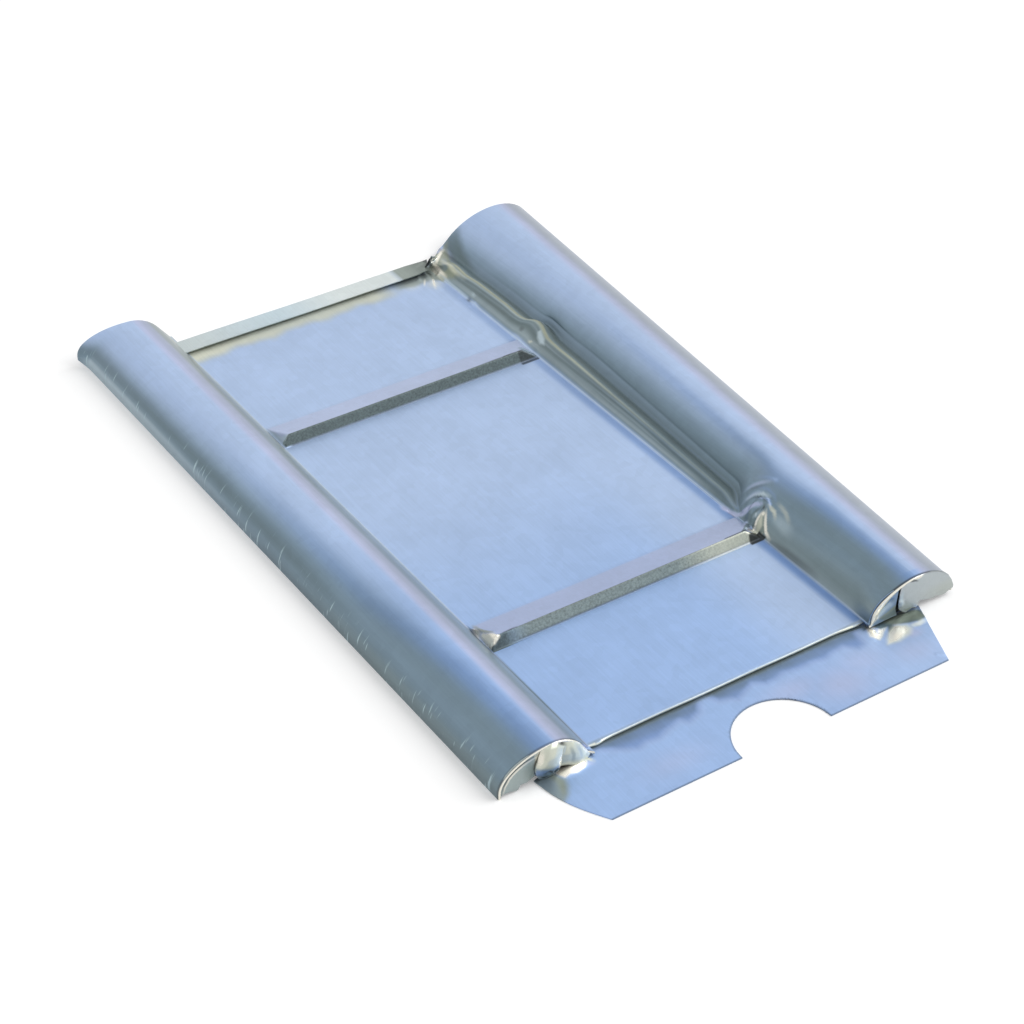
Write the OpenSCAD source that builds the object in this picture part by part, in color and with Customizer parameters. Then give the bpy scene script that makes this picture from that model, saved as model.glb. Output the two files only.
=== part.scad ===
// Pressed metal roof tile made from one sheet of galvanised steel.
// A flat pan with two cross ridges lies between two side rolls that nest under
// the rolls of the next tile. The lower edge has a Z-folded hem and a drip apron
// with a half-round notch, and the head edge is folded back over the pan.
// +X runs across the tile, +Y up the roof slope and +Z away from the roof.

/* [Sheet] */
// Thickness of the sheet
sheet_t = 0.6; // [0.4:0.05:1]
// Inner radius of the tight bends in the hem
hem_bend_r = 0.3; // [0.2:0.05:0.6]

/* [Pan] */
// Width of the flat pan between the two creases
pan_w = 170; // [130:1:260]
// Length of the pan from the hem to the head fold
pan_l = 423; // [360:1:600]
// Depth of the hem, hidden under the pan
hem_depth = 12; // [8:0.5:25]
// Width of the strip folded back over the head of the pan
head_fold_w = 14; // [8:0.5:25]
// Inner radius of the head fold, which stays open as a pocket
head_bend_r = 0.9; // [0.5:0.1:2]

/* [Cross ridges] */
// Number of cross ridges
ridge_count = 2; // [1:1:2]
// Height of a ridge above the pan
ridge_h = 6; // [3:0.5:9]
// Length of the long slope, on the side of the head
ridge_ramp = 20; // [12:0.5:30]
// Length of the steep riser, on the side of the hem
ridge_riser = 3.5; // [2:0.5:8]
// Distance from the hem to the foot of the first riser
ridge_start = 82.5; // [40:0.5:110]
// Distance from one riser to the next
ridge_pitch = 211; // [100:1:220]
// Length of the bevel at the left end of a ridge
ridge_left_bevel = 5; // [2:0.5:20]
// Length of the bevel at the right end of a ridge
ridge_right_bevel = 9; // [2:0.5:20]

/* [Left roll] */
// Width of the left roll, the same all along
left_w = 53.5; // [40:0.5:70]
// Height of the left roll above the pan
left_h = 17.5; // [14:0.5:20]
// Distance from the crease to the crown of the left roll
left_crown = 24; // [20:0.5:30]
// Slope of the flank beside the pan, in degrees
left_slope = 52; // [46:1:58]
// How far the outer end of the roll's head edge runs past its inner end
left_skew = 7; // [0:0.5:12]
// Outward reach of the flared outer corner at the head edge
left_flare = 3.5; // [1:0.5:6]
// Length of the flared corner along the roll
left_flare_l = 8; // [4:0.5:20]

/* [Right roll] */
// Width of the right roll at the near end
right_w = 54.5; // [45:0.5:70]
// Width of the right roll at the head
right_head_w = 85; // [75:0.5:110]
// Height of the right roll at the near end
right_h = 19; // [15:0.5:21]
// Height of the right roll at the head
right_head_h = 17.5; // [15:0.5:20]
// Distance from the free edge to the crown of the right roll
right_outer = 26; // [20:0.5:34]
// Slope of the flank at the near end, in degrees
right_slope = 58; // [55:1:62]
// Slope of the flank at the head, in degrees
right_head_slope = 44; // [40:1:50]
// Width of the water bead beside the crease, at the head
bead_w = 20; // [12:0.5:24]
// Height of the water bead at the head
bead_h = 6.5; // [3:0.5:9]
// Length over which the bead grows from the first riser to its full size
bead_growth = 190; // [60:5:260]
// Distance from the head fold at which the bead starts to run out
bead_fade = 8; // [4:1:30]

/* [Roll ends] */
// How far the rolls run past the hem
near_run = 5; // [3:0.5:12]
// How far the rolls run past the head fold
head_run = 10; // [4:0.5:20]

/* [Apron] */
// Length of the apron from the hem to its free edge
apron_l = 45; // [36:0.5:80]
// Overhang of the apron past each crease, beside the hem
apron_root = 33; // [26:0.5:38]
// Overhang of the apron's free edge past each crease
apron_tip = 17; // [0:0.5:24]
// Outward bow of the apron's left side
apron_bow = 3; // [0:0.5:6]
// Radius of the half-round notch in the free edge
notch_r = 27; // [10:0.5:30]

/* [Hidden] */
arc_steps = 12;
bead_steps = 6;
flat_bead_w = 0.6;
flat_bead_h = 0.02;
flare_step = 7;
cut_size = 2 * (left_w + left_flare);
hem_outer_r = hem_bend_r + sheet_t;
apron_drop = 2 * (hem_outer_r + hem_bend_r);
floor_z = -apron_drop - sheet_t;
near_y = -near_run;
head_y = pan_l + head_run;
lap = sheet_t / 2;
mid_x = (pan_w + right_head_w - left_w - left_flare) / 2;
mid_y = (head_y + left_skew - apron_l) / 2;
steel_colour = "#AFC3DE";

// Points of an arc round a centre, from one angle to another
function arc(centre, rx, ry, from, to, first = 0) = [
    for (i = [first : arc_steps])
        let (a = from + (to - from) * i / arc_steps)
        centre + [rx * cos(a), ry * sin(a)]
];

// Unit normal on the left of the stretch that starts at a point of a path
function left_normal(path, i) =
    let (d = path[i + 1] - path[i])
    [-d[1], d[0]] / norm(d);

// A path moved sideways to its left by a distance, with mitred corners
function shifted(path, distance) = [
    for (i = [0 : len(path) - 1])
        let (
            before = left_normal(path, max(i - 1, 0)),
            after = left_normal(path, min(i, len(path) - 2)),
            middle = (before + after) / norm(before + after)
        )
        path[i] + middle * distance / (middle * before)
];

function reversed(list) = [for (i = [len(list) - 1 : -1 : 0]) list[i]];

// Outline of a strip of sheet with its skin on a path and its body on the left
function strip(path) = concat(path, reversed(shifted(path, sheet_t)));

// Half-sine bead that starts at the crease and ends at the foot of the flank
function bead_path(w, h) = [for (i = [0 : bead_steps]) let (s = i / bead_steps) [-w * s, h * sin(180 * s)]];

// Upper skin of a roll, from the pan over the crown and down to the free edge.
// The flank leaves its foot at a slope and turns over the crown as a round arc.
// The outer side is a quarter of an ellipse with a short upright edge.
function roll_path(foot_path, w, h, crown, slope) =
    let (
        foot = -foot_path[len(foot_path) - 1][0],
        r = ((crown - foot) * tan(slope) - h) / (1 / cos(slope) - 1)
    )
    concat(
        [[lap, 0]],
        foot_path,
        arc([-crown, h - r], r, r, 90 - slope, 90),
        arc([-crown, 0], w - crown, h, 90, 180, first = 1),
        [[-w, floor_z]]
    );

function left_path() = roll_path([[0, 0]], left_w, left_h, left_crown, left_slope);

// Upper skin of the flared corner, which leaves the roll's outer side at a tangent
function flare_path() =
    let (
        side = arc([-left_crown, 0], left_w - left_crown, left_h, 90, 180),
        a = 90 + 90 * flare_step / arc_steps,
        reach = left_w + left_flare + side[flare_step][0],
        fall = reach * left_h * cos(a) / ((left_w - left_crown) * sin(a))
    )
    [side[flare_step - 1], side[flare_step], side[flare_step] + [-reach, fall]];

function blend(a, b, s) = a + (b - a) * s;

// Upper skin of the right roll at a place along the tile, mirrored to run to -X
function right_path(y) =
    let (
        s = (y - near_y) / (head_y - near_y),
        grown = min(1, max(0, (y - ridge_start) / bead_growth)),
        raised = min(grown, (head_y - y) / (head_run + bead_fade)),
        w = blend(right_w, right_head_w, s)
    )
    roll_path(
        bead_path(blend(flat_bead_w, bead_w, grown), blend(flat_bead_h, bead_h, raised)),
        w,
        blend(right_h, right_head_h, s),
        w - right_outer,
        blend(right_slope, right_head_slope, s)
    );

// Upper skin of the pan along the tile: head fold, pan, and the hem's three layers
function pan_path() =
    let (
        head_c = pan_l - head_bend_r - sheet_t,
        back_c = hem_depth - hem_outer_r
    )
    concat(
        [[pan_l - head_fold_w, 2 * head_bend_r]],
        arc([head_c, head_bend_r], head_bend_r, head_bend_r, 90, -90),
        arc([hem_outer_r, -hem_outer_r], hem_outer_r, hem_outer_r, 90, 270),
        arc([back_c, -2 * hem_outer_r - hem_bend_r], hem_bend_r, hem_bend_r, 90, -90),
        [[0, -apron_drop]]
    );

// Turns a drawing of (y, z) into a bar along X
module along_x(length) {
    rotate([90, 0, 90]) linear_extrude(length) children();
}

// Turns a drawing of (x, z) into a bar along Y
module along_y(from, to) {
    translate([0, to, 0]) rotate([90, 0, 0]) linear_extrude(to - from) children();
}

// Solid wedge with bevelled ends, standing on the pan
module ridge_wedge() {
    intersection() {
        along_x(pan_w) polygon([[0, 0], [ridge_riser, ridge_h], [ridge_riser + ridge_ramp, 0]]);
        along_y(0, ridge_riser + ridge_ramp)
            polygon([[0, 0], [ridge_left_bevel, ridge_h], [pan_w - ridge_right_bevel, ridge_h], [pan_w, 0]]);
    }
}

module pan() {
    riser_angle = atan(ridge_h / ridge_riser);
    difference() {
        union() {
            along_x(pan_w) polygon(strip(pan_path()));
            for (i = [0 : ridge_count - 1])
                translate([0, ridge_start + i * ridge_pitch, -lap]) ridge_wedge();
        }
        for (i = [0 : ridge_count - 1])
            translate([0, ridge_start + i * ridge_pitch + sheet_t * tan(riser_angle / 2), -lap - sheet_t])
                ridge_wedge();
    }
}

module left_roll() {
    end_y = head_y + left_skew;
    difference() {
        union() {
            along_y(near_y, end_y) polygon(strip(left_path()));
            along_y(end_y - left_flare_l, end_y) polygon(strip(flare_path()));
        }
        translate([0, head_y, 0]) rotate([0, 0, -atan(left_skew / (left_w + left_flare))])
            translate([-cut_size, 0, -cut_size / 2]) cube([2 * cut_size, cut_size, cut_size]);
    }
}

// The widening roll is lofted through its sections, and its head edge is cut
// back beside the crease to meet the head of the pan
module right_roll() {
    stations = [near_y, ridge_start, ridge_start + bead_growth, pan_l - bead_fade, head_y];
    rings = [for (y = stations) [
        for (p = strip(right_path(y)))
            let (cut = y < head_y ? 0 : head_run * min(1, max(0, 1 + p[0] / bead_w)))
            [pan_w - p[0], y - cut, p[1]]
    ]];
    count = len(rings[0]);
    last = len(stations) - 1;
    sides = [for (j = [0 : last - 1], i = [0 : count - 1])
        let (a = j * count + i, b = j * count + (i + 1) % count) [b, a, a + count, b + count]];
    ends = [for (j = [0, last], i = [0 : count / 2 - 2])
        let (a = j * count + i, b = j * count + count - 1 - i)
        j == 0 ? [a, a + 1, b - 1, b] : [b, b - 1, a + 1, a]];
    polyhedron([for (ring = rings) each ring], concat(sides, ends), convexity = 6);
}

// Flap that closes the near end of a roll and stands on the apron's wing
module end_flap(path) {
    middle = shifted(path, lap);
    along_y(near_y + lap, near_y + lap + sheet_t)
        polygon(concat(
            [for (p = middle) if (p[1] > floor_z / 2) p],
            [[-apron_root, floor_z / 2], [-apron_root, floor_z + lap], [0, floor_z + lap]]
        ));
}

module apron() {
    wing_y = near_y + lap + sheet_t;
    back_y = hem_depth - hem_outer_r;
    left_side = [for (s = [0 : 0.125 : 1]) [
        -blend(apron_tip, apron_root, s) - apron_bow * sin(180 * s),
        blend(-apron_l, wing_y, s)
    ]];
    outline = concat(
        left_side,
        [[0, wing_y], [0, back_y], [pan_w, back_y], [pan_w, wing_y], [pan_w + apron_root, wing_y]],
        [[pan_w + apron_tip, -apron_l]]
    );
    translate([0, 0, floor_z]) difference() {
        linear_extrude(sheet_t) polygon(outline);
        translate([pan_w / 2, -apron_l, -sheet_t]) cylinder(h = 3 * sheet_t, r = notch_r, $fn = 96);
    }
}

module roof_sheet() {
    color(steel_colour) translate([-mid_x, -mid_y, -floor_z]) {
        pan();
        left_roll();
        right_roll();
        end_flap(left_path());
        translate([pan_w, 0, 0]) mirror([1, 0, 0]) end_flap(right_path(near_y));
        apron();
    }
}

roof_sheet();
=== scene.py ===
import math

import bpy
import numpy as np
from mathutils import Matrix, Vector


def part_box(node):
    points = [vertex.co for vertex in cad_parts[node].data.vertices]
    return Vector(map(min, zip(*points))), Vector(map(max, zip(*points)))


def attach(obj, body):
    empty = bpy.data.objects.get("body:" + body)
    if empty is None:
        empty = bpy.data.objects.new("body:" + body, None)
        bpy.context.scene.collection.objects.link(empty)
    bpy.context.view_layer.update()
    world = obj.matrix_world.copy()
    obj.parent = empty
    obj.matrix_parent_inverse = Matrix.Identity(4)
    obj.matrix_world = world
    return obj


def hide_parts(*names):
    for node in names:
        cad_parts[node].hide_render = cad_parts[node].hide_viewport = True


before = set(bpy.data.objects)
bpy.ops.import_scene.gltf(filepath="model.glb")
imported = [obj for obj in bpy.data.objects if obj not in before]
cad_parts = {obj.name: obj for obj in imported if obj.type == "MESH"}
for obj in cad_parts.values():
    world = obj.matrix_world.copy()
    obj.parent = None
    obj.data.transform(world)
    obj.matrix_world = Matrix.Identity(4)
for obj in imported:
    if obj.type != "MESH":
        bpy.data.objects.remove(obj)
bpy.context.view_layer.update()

# Pressed roof tile of galvanised steel: one sheet with a flat pan, two cross ridges,
# two side rolls, a Z-folded hem with a notched apron and a head edge folded back.
# Sizes are in millimetres in the tile's own measure: x from the left crease across
# the pan, y from the hem line up the slope, z above the upper skin of the pan.

MM = 0.001

# Sheet and pan
SHEET = 0.6
PAN_W = 170.0
PAN_L = 423.0
HEM_DEPTH = 12.0
HEM_R = 0.9
HEM_INNER_R = 0.3
HEAD_FOLD = 14.0
HEAD_R = 0.9
FLOOR = -3.0

# Cross ridges
RIDGE_COUNT = 2
RIDGE_H = 6.0
RIDGE_RISER = 3.5
RIDGE_RAMP = 20.0
RIDGE_START = 82.5
RIDGE_PITCH = 211.0
RIDGE_LEFT_BEVEL = 5.0
RIDGE_RIGHT_BEVEL = 9.0
RIDGE_TOP_ROUND = 0.9
RIDGE_FOOT_ROUND = 0.5

# Left roll
LEFT_W = 53.5
LEFT_H = 17.5
LEFT_CROWN = 24.0
LEFT_SLOPE = 52.0
LEFT_SKEW = 7.0
LEFT_FLARE = 3.5
LEFT_FLARE_L = 8.0

# Right roll and its water bead
RIGHT_W = 54.5
RIGHT_HEAD_W = 85.0
RIGHT_H = 19.0
RIGHT_HEAD_H = 17.5
RIGHT_OUTER = 26.0
RIGHT_SLOPE = 58.0
RIGHT_HEAD_SLOPE = 44.0
PLAIN_HEAD_SLOPE = 32.0
BEAD_W = 20.0
BEAD_VALLEY = 15.6
BEAD_FALL = 0.72
BEAD_H = 6.5
BEAD_GROWTH = 190.0

# Ends of the rolls and the apron
NEAR_RUN = 5.0
HEAD_RUN = 10.0
APRON_L = 45.0
APRON_ROOT = 33.0
APRON_TIP = 17.0
APRON_BOW = 3.0
NOTCH_R = 27.0

NEAR_Y = -NEAR_RUN
HEAD_Y = PAN_L + HEAD_RUN

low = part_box("roof_sheet")[0]
ORIGIN = np.array([low.x + (LEFT_W + LEFT_FLARE) * MM, low.y + APRON_L * MM, low.z - FLOOR * MM])


def to_metres(points):
    """Points of the tile's own measure, in the shared frame in metres."""
    return np.asarray(points, float) * MM + ORIGIN


def linear(code):
    """An sRGB hex value as a linear colour with alpha."""
    channels = [int(code[i:i + 2], 16) / 255 for i in (1, 3, 5)]
    return tuple(c / 12.92 if c <= 0.04045 else ((c + 0.055) / 1.055) ** 2.4 for c in channels) + (1.0,)


def add(tree, kind, settings=None, links=None):
    """Adds a node, sets its properties, fills or links its inputs, and gives back its outputs."""
    node = tree.nodes.new(kind)
    for key, value in (settings or {}).items():
        setattr(node, key, value)
    for key, value in (links or {}).items():
        if isinstance(value, bpy.types.NodeSocket):
            tree.links.new(value, node.inputs[key])
        else:
            node.inputs[key].default_value = value
    return node.outputs


def ramp01(value, start, end):
    """Smooth rise from 0 at start to 1 at end."""
    t = np.clip((value - start) / (end - start), 0.0, 1.0)
    return t * t * (3 - 2 * t)


def fade(values, high, low):
    """1 up to one place, falling to 0 at a further one."""
    return 1 - ramp01(values, high, low)


def bell(values, middle, width):
    """1 in the middle, fading away softly on both sides."""
    return np.exp(-((values - middle) / width) ** 2)


# ---------------------------------------------------------------- sections

BEND = 1.6
BEND_STEPS = 4
FOOT_RISE = 0.45
RIGHT_DROP = -0.4


def spread(stops):
    """Stations from (from, to, step) stretches, without doubles."""
    values = []
    for a, b, step in stops:
        count = max(1, round((b - a) / step))
        values += [a + (b - a) * i / count for i in range(count)]
    values.append(stops[-1][1])
    return values


def offset_path(path, distance):
    """A path of (x, z) moved sideways; a positive distance moves it into the roll."""
    step = np.gradient(path, axis=0)
    normal = np.stack([-step[:, 1], step[:, 0]], axis=1)
    normal /= np.linalg.norm(normal, axis=1)[:, None]
    return path + normal * distance


def roll_section(width, height, crown, slope, drop, steps, foot=0.0):
    """Upper skin of a roll from the pan outwards as (distance from the crease, height).

    A small bend at the crease, a strip at the foot, the straight flank, a round arc over
    the crown, a quarter of an ellipse down to the free edge and a short upright.
    """
    strip, flank, arc, outer, upright = steps
    a = math.radians(slope)
    radius = ((crown - foot) * math.tan(a) - height) / (1 / math.cos(a) - 1)
    centre = np.array([crown, height - radius])
    arc_start = centre + radius * np.array([-math.sin(a), math.cos(a)])
    bend = BEND * math.tan(a / 2)
    start = np.array([-bend, 0.0])
    end = bend * np.array([math.cos(a), math.sin(a)])
    strip_end = end + (arc_start - end) * 0.6
    if foot:
        end = np.array([bend, 0.0])
        strip_end = np.array([foot, FOOT_RISE])
    points = [(1 - t) ** 2 * start + t * t * end for t in np.linspace(0, 1, BEND_STEPS + 1)]
    points += [end + (strip_end - end) * i / strip for i in range(1, strip + 1)]
    points += [strip_end + (arc_start - strip_end) * i / flank for i in range(1, flank + 1)]
    for i in range(1, arc + 1):
        b = a * (1 - i / arc)
        points.append(centre + radius * np.array([-math.sin(b), math.cos(b)]))
    for i in range(1, outer + 1):
        b = math.pi / 2 * i / outer
        points.append(np.array([crown + (width - crown) * math.sin(b), height * math.cos(b)]))
    points += [np.array([width, drop * i / upright]) for i in range(1, upright + 1)]
    return np.array(points)


def eased(values, first, last):
    """Averages the stations from first to last with their neighbours, in place."""
    before, after = values[first - 1:last - 1], values[first + 1:last + 1]
    values[first:last] = (before + 2 * values[first:last] + after) / 4


# Steps of the strip, the flank, the arc, the outer side and the upright
LEFT_STEPS = (6, 4, 14, 16, 2)
RIGHT_STEPS = (34, 16, 34, 18, 2)
left_section = roll_section(LEFT_W, LEFT_H, LEFT_CROWN, LEFT_SLOPE, FLOOR, LEFT_STEPS)
head_crown = RIGHT_HEAD_W - RIGHT_OUTER
right_near = roll_section(RIGHT_W, RIGHT_H, RIGHT_W - RIGHT_OUTER, RIGHT_SLOPE, RIGHT_DROP, RIGHT_STEPS)
right_head = roll_section(
    RIGHT_HEAD_W, RIGHT_HEAD_H, head_crown, PLAIN_HEAD_SLOPE, RIGHT_DROP, RIGHT_STEPS,
)
right_footed = roll_section(
    RIGHT_HEAD_W, RIGHT_HEAD_H, head_crown, RIGHT_HEAD_SLOPE, RIGHT_DROP, RIGHT_STEPS, BEAD_W,
)
# Where each station lies across the bead: 0 at the crease, 1 in the valley behind it
soft_dx = (right_footed[:, 0] + np.sqrt(right_footed[:, 0] ** 2 + 0.6 ** 2)) / 2
bead_place = soft_dx / BEAD_VALLEY
bead_fall = np.cos(0.5 * math.pi * np.clip((bead_place - 0.5) / BEAD_FALL, 0, 1)) ** 2
bead_bump = BEAD_H * np.where(bead_place < 0.5, np.sin(math.pi * np.clip(bead_place, 0, 1)), bead_fall)
# Twelve passes round off the corners where the foot meets the flank and where the bead ends
for _ in range(12):
    eased(right_footed, 21, 59)
    eased(bead_bump, 20, 50)

# ---------------------------------------------------------------- flat blank

MAIN_ROWS = spread([
    (-4.4, 3, 1.0), (3, 12, 1.5), (12, 72, 4.0), (72, 81.6, 0.8), (81.6, 87.6, 0.35), (87.6, 114, 0.6),
    (114, 282, 4.5), (282, 292.6, 0.9), (292.6, 298, 0.35), (298, 330, 0.7), (330, 396, 3.0),
    (396, HEAD_Y, 0.8),
])
PAN_COLUMNS = spread([(1.2, 10, 0.6), (10, 148, 4.6), (148, PAN_W - 1.2, 0.6)])
LEFT_SEAM = 10.0
RIGHT_SEAM = 148.0

# Rows of the rolled rim at the near end: (y, inset into the roll)
RIM_ROWS = [(-2.6, 1.7), (-4.3, 1.75), (-5.1, 1.5), (-5.45, 1.05), (-5.5, 0.6), (-5.3, 0.2), (-4.9, 0.03)]


def hem_rows():
    """The hem below the pan's front edge as (y, z), from its hidden end to the pan."""
    back = HEM_DEPTH - HEM_R
    rows = [(back, -2 * HEM_R - 2 * HEM_INNER_R)]
    for i in range(1, 5):
        b = math.radians(-90 + 180 * i / 5)
        centre = (back, -2 * HEM_R - HEM_INNER_R)
        rows.append((centre[0] + HEM_INNER_R * math.cos(b), centre[1] + HEM_INNER_R * math.sin(b)))
    for i in range(5):
        rows.append((back - (back - HEM_R) * i / 4, -2 * HEM_R))
    for i in range(1, 9):
        b = math.radians(-90 - 180 * i / 9)
        rows.append((HEM_R + HEM_R * math.cos(b), -HEM_R + HEM_R * math.sin(b)))
    return rows


def head_rows():
    """The head edge turned up and back over the pan as (y, z)."""
    centre = PAN_L - HEAD_R - SHEET
    rows = []
    for i in range(1, 8):
        b = math.radians(-90 + 180 * i / 8)
        rows.append((centre + HEAD_R * math.cos(b), HEAD_R + HEAD_R * math.sin(b)))
    rows += [(centre - (centre - PAN_L + HEAD_FOLD) * i / 16, 2 * HEAD_R) for i in range(17)]
    return rows


class Blank:
    """The flat blank: a grid of quads that carries for each point where the press puts it."""

    VECTORS = ("near", "head", "foot", "flare")
    FIELDS = VECTORS + ("across", "along", "drop", "run", "turn", "bump", "place")

    def __init__(self):
        self.data = {name: [] for name in self.FIELDS}
        self.index = {}
        self.faces = []

    def point(self, key, near, across, along, **others):
        """The number of a point, which is made the first time that its key is asked for."""
        if key not in self.index:
            self.index[key] = len(self.data["along"])
            values = {
                "near": near, "head": near, "foot": (0, 0, 0), "flare": (0, 0, 0), "across": across,
                "along": along, "drop": 0.0, "run": 0.0, "turn": 0.0, "bump": 0.0, "place": 9.0,
            }
            values.update(others)
            for name in self.FIELDS:
                self.data[name].append(values[name])
        return self.index[key]

    def weave(self, grid):
        """Quads between neighbouring rows and columns of points."""
        for i in range(len(grid) - 1):
            for j in range(len(grid[0]) - 1):
                self.faces.append((grid[i][j], grid[i][j + 1], grid[i + 1][j + 1], grid[i + 1][j]))

    def left_point(self, k, y, inset=0.0):
        """Station k of the left roll, with its share of the flared far corner."""
        path = offset_path(left_section, -inset) if inset else left_section
        last = len(left_section) - 1
        x, z = -path[k][0], path[k][1]
        run = LEFT_SKEW * max(0.0, -x) / (LEFT_W + LEFT_FLARE)
        t = max(0.0, k - last + LEFT_STEPS[3] + LEFT_STEPS[4]) / (LEFT_STEPS[3] + LEFT_STEPS[4])
        flare = (-LEFT_FLARE * min(1.0, 1.6 * t), 0.0, 4.6 * t ** 1.5 * (1.0 - 0.25 * t))
        return self.point(
            ("L", k, round(y, 3), inset), (x, 0.0, z), min(0.0, x), y, run=run, turn=-k / last,
            flare=flare,
        )

    def right_point(self, k, y, inset=0.0):
        """Station k of the right roll: its near and head sections and its share of the bead."""
        paths = (right_near, right_head, right_footed)
        if inset:
            paths = [offset_path(path, -inset) for path in paths]
        near, head, footed = [np.array([PAN_W + path[k][0], 0.0, path[k][1]]) for path in paths]
        cut = max(0.0, 1 - max(0.0, footed[0] - PAN_W) / BEAD_W)
        return self.point(
            ("R", k, round(y, 3), inset), tuple(near), max(PAN_W, near[0]), y, head=tuple(head),
            foot=tuple(footed - head), run=-HEAD_RUN * cut, turn=k / (len(right_near) - 1),
            bump=bead_bump[k], place=bead_place[k],
        )

    def pan_point(self, j, y, z=0.0):
        """Column j of the pan, the hem or the head fold; the outer columns join the rolls."""
        if j == 0:
            if z == 0.0:
                return self.left_point(0, y)
            x = -left_section[0][0]
        elif j == len(PAN_COLUMNS) + 1:
            if z == 0.0:
                return self.right_point(0, y)
            x = PAN_W + right_near[0][0]
        else:
            x = PAN_COLUMNS[j - 1]
        return self.point(("P", j, round(y, 3), round(z, 3)), (x, 0, 0), x, y, drop=z)

    def mesh(self):
        """The whole blank, laid flat, with what the press needs on its points."""
        rows = RIM_ROWS + [(y, 0.0) for y in MAIN_ROWS]
        inwards = range(len(left_section) - 1, -1, -1)
        outwards = range(len(right_near))
        self.weave([[self.left_point(k, y, inset) for k in inwards] for y, inset in rows])
        self.weave([[self.right_point(k, y, inset) for k in outwards] for y, inset in rows])
        flat_rows = [y for y in MAIN_ROWS if HEM_R + 0.3 < y < PAN_L - HEAD_R - SHEET + 0.01]
        columns = range(len(PAN_COLUMNS) + 2)
        pan_rows = hem_rows() + [(y, 0.0) for y in flat_rows] + head_rows()
        self.weave([[self.pan_point(j, y, z) for j in columns] for y, z in pan_rows])
        mesh = bpy.data.meshes.new("tile_blank")
        flat = [(a, b, 0) for a, b in zip(self.data["across"], self.data["along"])]
        mesh.from_pydata(flat, [], self.faces)
        for name, values in self.data.items():
            vector = name in self.VECTORS
            field = mesh.attributes.new(name, "FLOAT_VECTOR" if vector else "FLOAT", "POINT")
            field.data.foreach_set("vector" if vector else "value", np.array(values, float).ravel())
        return mesh


# ---------------------------------------------------------------- press tree

PRESS_SIZES = {
    "Near Edge": NEAR_Y, "Head Edge": HEAD_Y, "Head Stretch": 33.0, "Pan Width": PAN_W,
    "Bead Start": RIDGE_START + 17.0, "Bead Set": RIDGE_START + 43.0,
    "Bead Full": RIDGE_START + BEAD_GROWTH, "Bead First Width": 0.54, "Bead First Height": 0.38,
    "Bead Fade": 396.0, "Bead End": 424.0, "Bead Last Height": 0.5, "Ridge Count": float(RIDGE_COUNT),
    "Ridge Height": RIDGE_H, "Ridge Riser": RIDGE_RISER, "Ridge Ramp": RIDGE_RAMP,
    "Ridge Start": RIDGE_START, "Ridge Pitch": RIDGE_PITCH, "Left Bevel": RIDGE_LEFT_BEVEL,
    "Right Bevel": RIDGE_RIGHT_BEVEL, "Corner Flare Length": LEFT_FLARE_L,
}


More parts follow.
